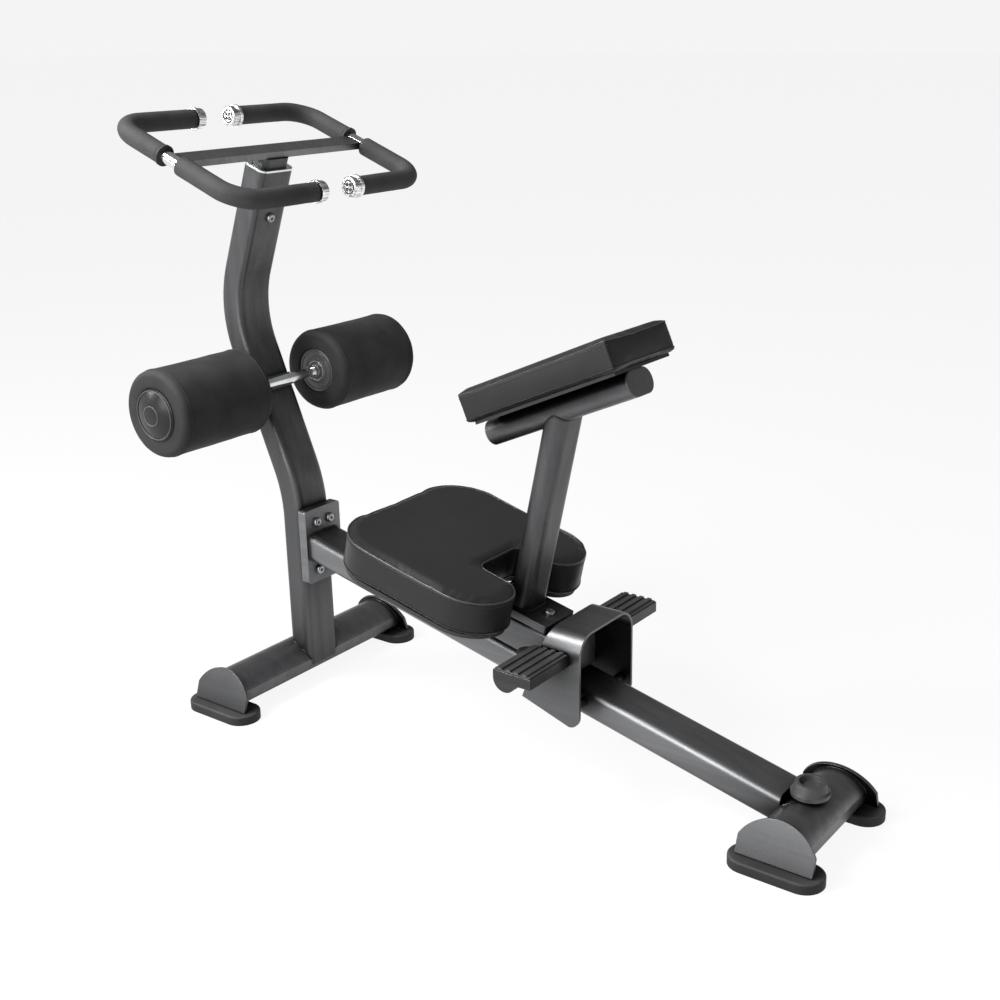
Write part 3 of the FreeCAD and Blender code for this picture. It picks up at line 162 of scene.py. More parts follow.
def painted_top_light(tree, colour, beside, above):
    """Painted light: a colour that grows lighter the more a face looks up, as if more light fell on it from above.
    """
    facing = add(tree, "ShaderNodeSeparateXYZ")
    tree.links.new(add(tree, "ShaderNodeNewGeometry").outputs["Normal"], facing.inputs["Vector"])
    top_lightening = ramp(tree, facing.outputs["Z"], beside, above, start=0.1, end=0.9)
    return multiplied(tree, colour, top_lightening)


# the rounded edge of a painted piece, and the lighter grey of the painted highlight along it
PAINT_EDGE_RADIUS = 0.0012
EDGE_HIGHLIGHT_GREY = (0.26, 0.262, 0.268, 1.0)


def powder_coat(name, streak, low=0.172, high=0.216, contrast=(0.88, 1.08), shade_start=0.4,
                reach=0.15, top_light_gain=1.0):
    """Charcoal satin paint: orange peel, metallic fleck, long soft streaks that are partly painted highlights,
    painted shade in corners, painted light on upward faces and painted highlights on its edges.
    """
    material, tree, shader = new_material(name)
    fleck, _ = object_noise(tree, 900, detail=2.0)
    tone = ramp(tree, fleck, (low, low * 1.01, low * 1.04), (high, high * 1.01, high * 1.04))
    # long streaks of lighter and darker tone: partly uneven paint, partly painted streaky highlights
    long_streaks, _ = object_noise(tree, 1.0, detail=3.0, roughness=0.6, stretch=streak)
    shade = ramp(tree, long_streaks, *contrast, start=0.36, end=0.64)
    # painted shade in corners and under overhangs, deepened from the given start
    shaded = multiplied(tree, multiplied(tree, tone, shade), painted_shade(tree, reach, 0.06, shade_start))
    # painted light: faces that look up are made lighter by the given gain
    shaded = painted_top_light(tree, shaded, 1.0, top_light_gain)
    bevel = add(tree, "ShaderNodeBevel", samples=4, Radius=PAINT_EDGE_RADIUS)
    flatness = add(tree, "ShaderNodeVectorMath", operation="DOT_PRODUCT")
    tree.links.new(bevel.outputs["Normal"], flatness.inputs[0])
    tree.links.new(add(tree, "ShaderNodeNewGeometry").outputs["Normal"], flatness.inputs[1])
    # painted highlight along rounded edges, where the bevelled normal leaves the face's own
    edge_highlight = ramp(tree, flatness.outputs["Value"], 0.45, 0.0, start=0.90, end=0.99)
    mix = add(tree, "ShaderNodeMix", data_type="RGBA")
    tree.links.new(edge_highlight, mix.inputs["Factor"])
    tree.links.new(shaded, mix.inputs[MIX_FIRST])
    mix.inputs[MIX_SECOND].default_value = EDGE_HIGHLIGHT_GREY
    tree.links.new(mix.outputs[MIX_RESULT], shader.inputs["Base Color"])
    handled, _ = object_noise(tree, 9, detail=4.0)
    tree.links.new(ramp(tree, handled, 0.33, 0.43), shader.inputs["Roughness"])
    shader.inputs["Metallic"].default_value = 0.9
    peel, _ = object_noise(tree, 420, detail=1.0)
    bumps(tree, shader, peel, 0.2, 0.0002, edge_radius=PAINT_EDGE_RADIUS)
    return material


def bright_metal(name, colour, roughness, stretch):
    """Polished or brushed metal with fine streaks and a little staining."""
    material, tree, shader = new_material(name)
    shader.inputs["Metallic"].default_value = 1.0
    stain, _ = object_noise(tree, 35, detail=4.0)
    darker = tuple(value * 0.8 for value in colour)
    tree.links.new(ramp(tree, stain, darker, colour, 0.3, 0.55), shader.inputs["Base Color"])
    streaks, _ = object_noise(tree, 260, detail=2.0, stretch=stretch)
    tree.links.new(ramp(tree, streaks, roughness * 0.7, roughness * 1.5), shader.inputs["Roughness"])
    bumps(tree, shader, streaks, 0.12, 0.0001, edge_radius=0.0008)
    return material


def rubber(name, level, roughness, grain, depth, specular=0.22):
    """Black rubber or foam: a dusty tone variation, painted shade in hollows and painted light on upward faces,
    over a fine pitted surface.
    """
    material, tree, shader = new_material(name)
    dust, vector = object_noise(tree, 14, detail=5.0)
    tone = ramp(tree, dust, (level,) * 3, (level * 1.4,) * 3)
    # painted shade in hollows, and painted light on faces that look up
    tone = painted_top_light(tree, multiplied(tree, tone, painted_shade(tree, 0.08, 0.3)), 0.75, 1.45)
    tree.links.new(tone, shader.inputs["Base Color"])
    shader.inputs["Roughness"].default_value = roughness
    shader.inputs["Specular IOR Level"].default_value = specular
    pits = add(tree, "ShaderNodeTexVoronoi", Scale=grain)
    tree.links.new(vector, pits.inputs["Vector"])
    bumps(tree, shader, pits.outputs["Distance"], 0.5, depth, edge_radius=0.001)
    return material


def moulded_plastic(name, level, roughness, specular=0.5):
    """Moulded plastic: a faint tone variation over a fine, even grain."""
    material, tree, shader = new_material(name)
    tone, _ = object_noise(tree, 22, detail=3.0)
    tree.links.new(ramp(tree, tone, (level,) * 3, (level * 1.35,) * 3), shader.inputs["Base Color"])
    shader.inputs["Roughness"].default_value = roughness
    shader.inputs["Specular IOR Level"].default_value = specular
    grain, _ = object_noise(tree, 1100, detail=1.0)
    bumps(tree, shader, grain, 0.35, 0.00015, edge_radius=0.0008)
    return material


def vinyl(name, level):
    """Upholstery vinyl: leather-like cells, soft creases and a broad sheen."""
    material, tree, shader = new_material(name)
    tone, vector = object_noise(tree, 5, detail=2.0)
    tone = ramp(tree, tone, (level,) * 3, (level * 1.12,) * 3)
    # painted shade in creases and corners, and painted light on faces that look up
    tone = painted_top_light(tree, multiplied(tree, tone, painted_shade(tree, 0.06, 0.3)), 0.72, 1.5)
    tree.links.new(tone, shader.inputs["Base Color"])
    shine, _ = object_noise(tree, 26, detail=3.0)
    tree.links.new(ramp(tree, shine, 0.38, 0.46), shader.inputs["Roughness"])
    shader.inputs["Specular IOR Level"].default_value = 0.26
    cells = add(tree, "ShaderNodeTexVoronoi", Scale=620)
    tree.links.new(vector, cells.inputs["Vector"])
    creases, _ = object_noise(tree, 60, detail=6.0, roughness=0.65)
    total = add(tree, "ShaderNodeMath", operation="MULTIPLY_ADD")
    tree.links.new(creases, total.inputs[0])
    total.inputs[1].default_value = 1.5
    tree.links.new(cells.outputs["Distance"], total.inputs[2])
    bumps(tree, shader, total.outputs["Value"], 0.3, 0.00025)
    return material


def knurled_metal(name):
    """Bright aluminium with ribs that run along +Y, with painted light on the ribs and painted shade between them.
    """
    material, tree, shader = new_material(name)
    shader.inputs["Metallic"].default_value = 1.0
    shader.inputs["Roughness"].default_value = 0.22
    ribs, _ = object_noise(tree, 1.0, detail=1.0, stretch=(420, 12, 420))
    tree.links.new(ramp(tree, ribs, (0.34,) * 3, (0.92,) * 3, 0.42, 0.52), shader.inputs["Base Color"])
    bumps(tree, shader, ribs, 0.6, 0.0006, edge_radius=0.0008)
    return material


MATERIALS = {
    "satin_charcoal_paint": powder_coat("satin_charcoal_paint", (1.2, 55, 55)),
    # the next three are one charcoal paint set darker or lighter for how their pieces are lit: painted light and
    # shade
    "upright_paint": powder_coat("upright_paint", (55, 55, 1.2), 0.077, 0.098, (0.9, 1.15),
                                 top_light_gain=2.2),
    "plate_paint": powder_coat("plate_paint", (1.2, 55, 55), 0.130, 0.160, (0.93, 1.04), shade_start=0.55),
    "shaded_paint": powder_coat("shaded_paint", (1.2, 55, 55), 0.150, 0.190, shade_start=0.70, reach=0.3),
    "bright_steel": bright_metal("bright_steel", (0.80, 0.81, 0.82), 0.16, (1, 1, 12)),
    "dull_steel": bright_metal("dull_steel", (0.40, 0.405, 0.41), 0.34, (1, 1, 3)),
    "aluminium": bright_metal("aluminium", (0.83, 0.84, 0.85), 0.24, (1, 20, 1)),
    "knurled_aluminium": knurled_metal("knurled_aluminium"),
    "dark_paint": powder_coat("dark_paint", (1.2, 55, 55), 0.050, 0.066),
    "black_rubber": rubber("black_rubber", 0.040, 0.62, 700, 0.0002),
    "heel_rubber": rubber("heel_rubber", 0.022, 0.7, 700, 0.0002, specular=0.1),
    "roller_foam": rubber("roller_foam", 0.035, 0.60, 900, 0.00012, specular=0.06),
    "grip_foam": rubber("grip_foam", 0.042, 0.72, 1300, 0.0003),
    "black_plastic": moulded_plastic("black_plastic", 0.052, 0.34),
    "glossy_plastic": moulded_plastic("glossy_plastic", 0.012, 0.26, specular=0.24),
    "piping": moulded_plastic("piping", 0.035, 0.30, specular=0.7),
    "vinyl_upholstery": vinyl("vinyl_upholstery", 0.017),
    # near black: partly the board's own colour, partly painted shade for the dark band under the upper pad
    "black_board": moulded_plastic("black_board", 0.012, 0.6),
    "stitching": rubber("stitching", 0.05, 0.7, 2500, 0.0002),
}


def dress(obj, look):
    """Give a mesh one material."""
    obj.data.materials.clear()
    obj.data.materials.append(MATERIALS[look])


def finished(obj, look, body):
    """Give a new piece its material and the body it moves with."""
    dress(obj, look)
    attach(obj, body)


# nodes whose look differs from the plain look of their slot: some by a finish of their own, and the upright, plate
# and shaded paints as the slot's charcoal paint set darker or lighter for how those pieces are lit (painted light
# and shade)
SPECIAL_LOOKS = {"rear_post": "upright_paint", "mid_post": "upright_paint",
                 "handle_neck": "upright_paint", "handle_end_caps": "knurled_aluminium",
                 "flange_bolts": "dull_steel", "base_plate_bolts": "dull_steel",
                 "neck_bolt": "dull_steel", "pedal_left_frame": "dark_paint",
                 "pedal_right_frame": "dark_paint", "roller_left_end_cap": "glossy_plastic",
                 "roller_right_end_cap": "glossy_plastic", "pad_tube": "shaded_paint",
                 "foot_bracket": "plate_paint", "rear_end_plate_left": "plate_paint",
                 "rear_end_plate_right": "plate_paint", "front_end_plate_left": "plate_paint",
                 "front_end_plate_right": "plate_paint", "pedal_left_heel": "heel_rubber",
                 "pedal_right_heel": "heel_rubber"}
for entry in frame["record"]["subparts"]:
    node = entry["node"]
    dress(NODES[node], SPECIAL_LOOKS.get(node, entry["material_slot"]))


# ---------------------------------------------------------------- mesh helpers
def link(name, mesh):
    """A new object in the scene that shows a mesh."""
    obj = bpy.data.objects.new(name, mesh)
    SCENE.collection.objects.link(obj)
    return obj


def bake_modifiers(obj):
    """Keep the mesh that the modifiers make, and drop the modifiers."""
    depsgraph = bpy.context.evaluated_depsgraph_get()
    mesh = bpy.data.meshes.new_from_object(obj.evaluated_get(depsgraph), depsgraph=depsgraph)
    mesh.name = obj.name
    obj.modifiers.clear()
    obj.data = mesh
    return obj


def remeshed(node, name, voxel):
    """A free copy of a CAD solid with an even skin of small faces."""
    obj = link(name, NODES[node].data.copy())
    skin = obj.modifiers.new("skin", "REMESH")
    skin.mode = "VOXEL"
    skin.voxel_size = voxel
    skin.use_smooth_shade = True
    return bake_modifiers(obj)


def coordinates(mesh):
    """Every vertex position, one row each."""
    flat = np.empty(len(mesh.vertices) * 3)
    mesh.vertices.foreach_get("co", flat)
    return flat.reshape(-1, 3)


def normals(mesh):
    """Every vertex normal, one row each."""
    flat = np.empty(len(mesh.vertices) * 3)
    mesh.vertex_normals.foreach_get("vector", flat)
    return flat.reshape(-1, 3)


def move_to(mesh, points):
    """Put every vertex at its new position, one row each."""
    mesh.vertices.foreach_set("co", np.ascontiguousarray(points, dtype=np.float64).ravel())
    mesh.update()


def into(matrix, points):
    """Points, one per row, expressed in the frame that the matrix describes."""
    inverse = np.array(matrix.inverted())
    return points @ inverse[:3, :3].T + inverse[:3, 3]


def out_of(matrix, points):
    """Points, one per row, taken from the matrix's own frame back to the world."""
    forward = np.array(matrix)
    return points @ forward[:3, :3].T + forward[:3, 3]


# how far a weld's ripple turns from one ring of the bead to the next, in radians
RIPPLE_TURN = 2.1


def swept(name, points, radius, closed=True, ripple=0.0, sides=8):
    """A round bead along a line of points; ripple makes the overlapping scales of a weld."""
    mesh = bpy.data.meshes.new(name)
    builder = bmesh.new()
    count = len(points)
    rings = []
    side = None
    for index, point in enumerate(points):
        ahead = points[(index + 1) % count] if closed or index < count - 1 else point
        behind = points[index - 1] if closed or index > 0 else point
        direction = (ahead - behind).normalized()
        if side is None:
            side = direction.orthogonal().normalized()
        side = (side - direction * side.dot(direction)).normalized()
        other = direction.cross(side)
        size = radius * (1 + ripple * math.sin(index * RIPPLE_TURN))
        ring = []
        for corner in range(sides):
            angle = math.tau * corner / sides
            ring.append(builder.verts.new(point + size * (side * math.cos(angle)
                                                          + other * math.sin(angle))))
        rings.append(ring)
    for index in range(count if closed else count - 1):
        first, second = rings[index], rings[(index + 1) % count]
        for corner in range(sides):
            following = (corner + 1) % sides
            builder.faces.new((first[corner], first[following], second[following], second[corner]))
    if not closed:
        builder.faces.new(rings[0][::-1])
        builder.faces.new(rings[-1])
    bmesh.ops.recalc_face_normals(builder, faces=builder.faces)
    builder.to_mesh(mesh)
    builder.free()
    mesh.shade_smooth()
    return link(name, mesh)


def resample(points, step, closed=True):
    """Points spaced evenly along a line."""
    loop = points + [points[0]] if closed else points
    lengths = [0.0]
    for start, end in zip(loop, loop[1:]):
        lengths.append(lengths[-1] + (end - start).length)
    count = max(4, round(lengths[-1] / step))
    even = []
    segment = 0
    for index in range(count if closed else count + 1):
        target = lengths[-1] * index / count
        while segment < len(loop) - 2 and lengths[segment + 1] < target:
            segment += 1
        span = lengths[segment + 1] - lengths[segment]
        share = (target - lengths[segment]) / span if span else 0.0
        even.append(loop[segment].lerp(loop[segment + 1], share))
    return even


def rounded_loop(half_a, half_b, corner, steps=8):
    """Points of a rounded rectangle, as pairs (a, b)."""
    points = []
    for quarter, (sa, sb) in enumerate(((1, 1), (-1, 1), (-1, -1), (1, -1))):
        for step in range(steps + 1):
            angle = math.radians(90 * (quarter + step / steps))
            points.append((sa * (half_a - corner) + corner * math.cos(angle),
                           sb * (half_b - corner) + corner * math.sin(angle)))
    return points


# ---------------------------------------------------------------- upholstery
CUSHION_VOXEL = 0.004
CUSHION_PRESSURE = 3.0
# the skin starts this much inside its solid, swells this far at most, and less sideways
START_INSIDE = 0.0015
SWELL_LIMIT = 0.005
SIDEWAYS_SHARE = 0.15
CLOTH_FRAMES = 20
# how far cords and stitches stand out of the skin, as shares of their radius
CORD_LIFT, STITCH_LIFT = 0.35, 0.4
CORD_STEP = 0.004
# how far the finished skin goes past its solid above and, before it is flattened, below
CROWN_RISE = 0.0015
UNDERSIDE_DEPTH = 0.003


def inflate(obj, matrix):
    """Swell the skin with a short cloth simulation; firm foam gives way less sideways."""
    rest = coordinates(obj.data)
    cloth = obj.modifiers.new("cloth", "CLOTH")
    cloth.settings.use_pressure = True
    cloth.settings.uniform_pressure_force = CUSHION_PRESSURE
    cloth.settings.quality = 5
    cloth.settings.effector_weights.gravity = 0.0
    cloth.collision_settings.use_collision = False
    SCENE.frame_start, SCENE.frame_end = 1, CLOTH_FRAMES
    for number in range(1, CLOTH_FRAMES + 1):
        SCENE.frame_set(number)
    bake_modifiers(obj)
    turn = np.array(matrix.to_3x3())
    move = (coordinates(obj.data) - rest) @ turn * (SIDEWAYS_SHARE, SIDEWAYS_SHARE, 1.0)
    length = np.linalg.norm(move, axis=1, keepdims=True)
    limited = move * np.minimum(1.0, SWELL_LIMIT / np.maximum(length, 1e-9))
    move_to(obj.data, rest + limited @ turn.T)
    SCENE.frame_set(1)


def offset(obj, amount):
    """Push the skin out along its normals; a negative amount pulls it in."""
    move_to(obj.data, coordinates(obj.data) + normals(obj.data) * amount)


def fit_to(obj, matrix, low, high):
    """Stretch the skin so that it just fills a box of the cushion's own frame."""
    local = into(matrix, coordinates(obj.data))
    start, end = local.min(axis=0), local.max(axis=0)
    share = (local - start) / (end - start)
    move_to(obj.data, out_of(matrix, np.array(low) + share * (np.array(high) - np.array(low))))


def rest_on(obj, matrix, height):
    """Flatten the underside where the cushion lies on its board."""
    local = into(matrix, coordinates(obj.data))
    local[:, 2] = np.maximum(local[:, 2], height)
    move_to(obj.data, out_of(matrix, local))


def local_box(node, matrix):
    """Lowest and highest corner of a CAD node in a tilted frame."""
    points = into(matrix, coordinates(NODES[node].data))
    return Vector(points.min(axis=0)), Vector(points.max(axis=0))


def cushion(node, name, matrix):
    """A sewn cushion in place of a plain CAD solid."""
    obj = remeshed(node, name, CUSHION_VOXEL)
    low, high = local_box(node, matrix)
    offset(obj, -START_INSIDE)
    inflate(obj, matrix)
    smooth = obj.modifiers.new("soften", "SMOOTH")
    smooth.factor = 0.5
    smooth.iterations = 2
    finer = obj.modifiers.new("finer", "SUBSURF")
    finer.levels = finer.render_levels = 1
    bake_modifiers(obj)
    fit_to(obj, matrix, low - Vector((0, 0, UNDERSIDE_DEPTH)), high + Vector((0, 0, CROWN_RISE)))
    rest_on(obj, matrix, low.z)
    obj.data.shade_smooth()
    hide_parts(node)
    finished(obj, "vinyl_upholstery", "frame")
    return obj


def side_loop(node, matrix, height, step):
    """The outline of a CAD cushion at a height of its own frame, as an even loop of points."""
    builder = bmesh.new()
    builder.from_mesh(NODES[node].data)
    bmesh.ops.remove_doubles(builder, verts=builder.verts, dist=1e-6)
    builder.transform(matrix.inverted())
    cut = bmesh.ops.bisect_plane(builder, geom=builder.verts[:] + builder.edges[:] + builder.faces[:],
                                 plane_co=(0, 0, height), plane_no=(0, 0, 1))
    edges = [item for item in cut["geom_cut"] if isinstance(item, bmesh.types.BMEdge)]
    points = [matrix @ vertex.co for vertex in chain(edges)]
    builder.free()
    return resample(points, step)


def chain(edges):
    """The vertices of a closed loop of edges, in order."""
    neighbours = {}
    for edge in edges:
        first, second = edge.verts
        neighbours.setdefault(first, []).append(second)
        neighbours.setdefault(second, []).append(first)
    start = next(iter(neighbours))
    ordered, previous, current = [start], None, start
    while True:
        options = [v for v in neighbours[current] if v is not previous]
        previous, current = current, options[0]
        if current is start:
            return ordered
        ordered.append(current)


def snapped(points, obj, lift):
    """Points moved onto the nearest skin of an object, then lifted off it."""
    tree = BVHTree.FromObject(obj, bpy.context.evaluated_depsgraph_get())
    moved = []
    for point in points:
        place, normal, _, _ = tree.find_nearest(point)
        moved.append(place + normal * lift)
    return moved


def welt(obj, name, loop, radius, look="vinyl_upholstery"):
    """A sewn edge cord that follows the swollen cushion."""
    line = resample(snapped(loop, obj, radius * CORD_LIFT), CORD_STEP)
    finished(swept(name, line, radius), look, "frame")


def stitches(obj, name, loop, radius, spacing):
    """A row of short raised stitches along a line on the cushion."""
    line = snapped(resample(loop, spacing), obj, radius * STITCH_LIFT)
    # each stitch is square in section; place along it and size there, in radii
    sections = ((-2.4, 0.3), (-1.0, 1.0), (1.0, 1.0), (2.4, 0.3))
    quarter_turns = (0.0, math.pi / 2, math.pi, 1.5 * math.pi)
    bead = np.array([(math.cos(turn) * size, math.sin(turn) * size, along)
                     for along, size in sections for turn in quarter_turns]) * radius
    vertices, faces = [], []
    for index, start in enumerate(line):
        direction = line[(index + 1) % len(line)] - start
        place = Matrix.Translation(start) @ direction.to_track_quat("Z", "Y").to_matrix().to_4x4()
        first = len(vertices)
        vertices.extend(out_of(place, bead).tolist())
        for ring in range(3):
            for side in range(4):
                near, far = first + ring * 4, first + ring * 4 + 4
                beside = (side + 1) % 4
                faces.append((near + side, near + beside, far + beside, far + side))
        faces.append((first + 3, first + 2, first + 1, first))
        faces.append((first + 12, first + 13, first + 14, first + 15))
    mesh = bpy.data.meshes.new(name)
    mesh.from_pydata(vertices, [], faces)
    mesh.shade_smooth()
    finished(link(name, mesh), "stitching", "frame")


# seams: how far below the top, or above the base, and how thick
TOP_CORD_DROP, STITCH_DROP, LOWER_CORD_RISE = 0.0045, 0.013, 0.007
SEAT_CORD, PAD_CORD, LOWER_CORD, STITCH_RADIUS = 0.0019, 0.0011, 0.0012, 0.0007
STITCH_SPACING = 0.005
LOOP_STEP = 0.006
SEAT_FRAME = tilted(centre("seat_cushion"), BEAM_SLOPE)
PAD_FRAME = tilted(centre("upper_pad"), -PAD_TILT)
for node, name, matrix, cord in (("seat_cushion", "seat_upholstery", SEAT_FRAME, SEAT_CORD),
                                 ("upper_pad", "upper_pad_upholstery", PAD_FRAME, PAD_CORD)):
    low, high = local_box(node, matrix)
    skin = cushion(node, name, matrix)
    top_loop = side_loop(node, matrix, high.z - TOP_CORD_DROP, LOOP_STEP)
    welt(skin, name + "_top_welt", top_loop, cord, look="piping")
    low_loop = side_loop(node, matrix, low.z + LOWER_CORD_RISE, LOOP_STEP)
    welt(skin, name + "_lower_welt", low_loop, LOWER_CORD)
    stitch_loop = side_loop(node, matrix, high.z - STITCH_DROP, LOOP_STEP)
    stitches(skin, name + "_stitches", stitch_loop, STITCH_RADIUS, STITCH_SPACING)


# ---------------------------------------------------------------- foam rollers and grips
LUMPS_PER_METRE = 18


def foam(node, name, body, slot, voxel, rounds, lumps):
    """A foam sleeve in place of a plain CAD solid: softened edges and a slightly uneven skin."""
    obj = remeshed(node, name, voxel)
    soften = obj.modifiers.new("soften", "SMOOTH")
    soften.factor = 0.5
    soften.iterations = rounds
    bake_modifiers(obj)
    points = coordinates(obj.data)
    heights = [noise.fractal(Vector(point) * LUMPS_PER_METRE, 1.0, 2.0, 3) for point in points]
    move_to(obj.data, points + normals(obj.data) * np.array(heights)[:, None] * lumps)
    obj.data.shade_smooth()
    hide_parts(node)
    finished(obj, slot, body)


def circle_points(middle, radius, count):
    """A circle about an axis parallel to +Y."""
    points = []
    for index in range(count):
        angle = math.tau * index / count
        points.append(middle + Vector((math.cos(angle), 0, math.sin(angle))) * radius)
    return points


def ring_at(name, middle, radius, thickness, look, body, count=72):
    """A round bead about an axis parallel to +Y."""
    bead = swept(name, circle_points(middle, radius, count), thickness)
    finished(bead, look, body)


# moulded seams round the rollers, near their ends
OUTER_SEAM_INSET, INNER_SEAM_INSET, SEAM_RADIUS, SEAM_SINK = 0.017, 0.014, 0.0016, 0.0006
for side, sign in (("left", 1), ("right", -1)):
    node = f"roller_{side}_foam"
    body = f"roller_{side}"
    foam(node, f"roller_{side}_sleeve", body, "roller_foam",
         voxel=0.003, rounds=6, lumps=0.0005)
    low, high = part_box(node)
    radius = (high.z - low.z) / 2
    for place, inset in (("outer", OUTER_SEAM_INSET), ("inner", INNER_SEAM_INSET)):
        from_outside = sign > 0 if place == "outer" else sign < 0
        y = high.y - inset if from_outside else low.y + inset
        ring_at(f"roller_{side}_{place}_seam", Vector((AXLE.x, y, AXLE.z)), radius - SEAM_SINK,
                SEAM_RADIUS, "roller_foam", body, count=96)
    for end in ("rear", "front"):
        foam(f"grip_{end}_{side}", f"grip_sleeve_{end}_{side}", "frame", "grip_foam",
             voxel=0.0022, rounds=5, lumps=0.0003)

# ---------------------------------------------------------------- welds
TUBE_HALF_DEPTH, TUBE_HALF_WIDTH, TUBE_ROUND = 0.029, 0.0445, 0.015
SADDLE_HALF_HEIGHT, SADDLE_HALF_WIDTH, SADDLE_ROUND = 0.013, 0.030, 0.001
FOOT_SIDE, FOOT_CROWN, ARCH_BASE = 0.025, 0.034, 0.004
CARRIER_HALF_WIDTH, CARRIER_BASE_HEIGHT, CARRIER_ENDS = 0.0395, 0.0308, (0.302, 0.680)
POST_HALF_DEPTH, POST_HALF_WIDTH, POST_ROUND = 0.02425, 0.040, 0.023
WELD_RADIUS, SLIM_WELD_RADIUS, WELD_STEP, WELD_RIPPLE = 0.0022, 0.0014, 0.0022, 0.14
DOWN = Matrix.Rotation(math.pi, 4, "X")
AHEAD = Matrix.Rotation(math.pi / 2, 4, "Y")
BACK = Matrix.Rotation(-math.pi / 2, 4, "Y")


def weld(name, target, matrix, outline):
    """A bead where a section, drawn in the matrix's xy plane, meets a piece along its z axis."""
    tree = BVHTree.FromObject(NODES[target], bpy.context.evaluated_depsgraph_get())
    direction = (matrix.to_3x3() @ Vector((0, 0, 1))).normalized()
    hits = [tree.ray_cast(matrix @ Vector((a, b, 0)), direction)[0] for a, b in outline]
    loop = [hit for hit in hits if hit is not None]
    bead = swept(name, resample(loop, WELD_STEP), WELD_RADIUS, ripple=WELD_RIPPLE)
    finished(bead, "dark_paint", "frame")


def arch_loop(half_width, side, crown, steps=24):
    """Points of a flat-bottomed arch as pairs (x, z), from its base corner round the crown."""
    radius = (half_width ** 2 + crown ** 2) / (2 * crown)
    reach = math.asin(half_width / radius)
    points = [(-half_width, ARCH_BASE)]
    for step in range(steps + 1):
        angle = -reach + 2 * reach * step / steps
        points.append((radius * math.sin(angle), side + crown - radius + radius * math.cos(angle)))
    return points + [(half_width, ARCH_BASE)]


# the beam's own frame: x along it from above the rear foot, z square to it
BEAM_RISE = 0.3319
BEAM = tilted((centre("rear_foot_tube").x, 0, BEAM_RISE), BEAM_SLOPE)
POST_AHEAD_OF_FOOT = 0.0245
post_x = centre("rear_foot_tube").x + POST_AHEAD_OF_FOOT
# each outline is cast onto its piece from a place that is well clear of it
POST_CAST_HEIGHT, BEAM_CAST_FRONT, BEAM_CAST_REAR, FOOT_CAST_SIDE = 0.2, 0.95, 0.2, 0.08
MID_POST_ALONG_BEAM, MID_POST_CAST_HEIGHT = 0.597, 0.25
HEAD_WELD_INSET = 0.001
TUBE_SECTION = rounded_loop(TUBE_HALF_DEPTH, TUBE_HALF_WIDTH, TUBE_ROUND)
weld("post_foot_weld", "rear_foot_tube",
     Matrix.Translation((post_x, 0, POST_CAST_HEIGHT)) @ DOWN, TUBE_SECTION)
weld("beam_foot_weld", "front_foot_tube",
     BEAM @ Matrix.Translation((BEAM_CAST_FRONT, 0, 0)) @ AHEAD, TUBE_SECTION)
weld("beam_flange_weld", "beam_flange",
     BEAM @ Matrix.Translation((BEAM_CAST_REAR, 0, 0)) @ BACK, TUBE_SECTION)
MID_POST = BEAM @ Matrix.Translation((MID_POST_ALONG_BEAM, 0, MID_POST_CAST_HEIGHT))
weld("mid_post_foot_weld", "mid_post_base_plate", MID_POST @ DOWN,
     rounded_loop(POST_HALF_DEPTH, POST_HALF_WIDTH, POST_ROUND))
weld("mid_post_head_weld", "pad_tube", MID_POST,
     rounded_loop(POST_HALF_DEPTH, POST_HALF_WIDTH - HEAD_WELD_INSET, POST_ROUND))
weld("axle_saddle_weld", "rear_post", tilted((AXLE.x, 0, AXLE.z), -AXLE_LEAN) @ BACK,
     rounded_loop(SADDLE_HALF_HEIGHT, SADDLE_HALF_WIDTH, SADDLE_ROUND, steps=1))
for foot in ("rear", "front"):
    low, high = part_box(f"{foot}_foot_tube")
    for side, sign in (("left", 1), ("right", -1)):
        outward = Matrix.Rotation(-sign * math.pi / 2, 4, "X")
        arch = arch_loop((high.x - low.x) / 2, FOOT_SIDE, FOOT_CROWN)
        start = Matrix.Translation(((low.x + high.x) / 2, sign * FOOT_CAST_SIDE, low.z))
        weld(f"{foot}_end_weld_{side}", f"{foot}_end_plate_{side}", start @ outward,
             [(x, -sign * z) for x, z in arch])
for side, sign in (("left", 1), ("right", -1)):
    ends = [BEAM @ Vector((x, sign * CARRIER_HALF_WIDTH, CARRIER_BASE_HEIGHT))
            for x in CARRIER_ENDS]
    bead = swept(f"carrier_weld_{side}", resample(ends, WELD_STEP, closed=False),
                 SLIM_WELD_RADIUS, closed=False, ripple=WELD_RIPPLE)
    finished(bead, "dark_paint", "frame")


# ---------------------------------------------------------------- small fittings
# rings on each roller's cap: name, radius and distance back from the cap's face
CAP_RINGS = (("rim", 0.0475, 0.0088), ("medallion", 0.019, 0.0014))
# beads on each hub: name, radius and look
HUB_BEADS = (("outer", 0.041, "black_plastic"), ("inner", 0.028, "black_plastic"),
             ("bearing", 0.0205, "dull_steel"))
CAP_RING_THICKNESS, HUB_BEAD_THICKNESS = 0.0013, 0.0016
for side, sign in (("left", 1), ("right", -1)):
    body = f"roller_{side}"
    cap_low, cap_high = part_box(f"roller_{side}_end_cap")
    face = cap_high.y if sign > 0 else cap_low.y
    axis = Vector((AXLE.x, 0, AXLE.z))
    for label, radius, back in CAP_RINGS:
        middle = axis + Vector((0, face - sign * back, 0))
        ring_at(f"roller_{side}_cap_{label}", middle, radius, CAP_RING_THICKNESS,
                "black_plastic", body)
    hub_low, hub_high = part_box(f"roller_{side}_hub_ring")
    hub = hub_low.y if sign > 0 else hub_high.y
    for label, radius, look in HUB_BEADS:
        ring_at(f"roller_{side}_hub_{label}_bead", axis + Vector((0, hub, 0)), radius,
                HUB_BEAD_THICKNESS, look, body)

RING = tilted(centre("handle_crossbar"), RING_TILT)
BAR_RADIUS = 0.0125
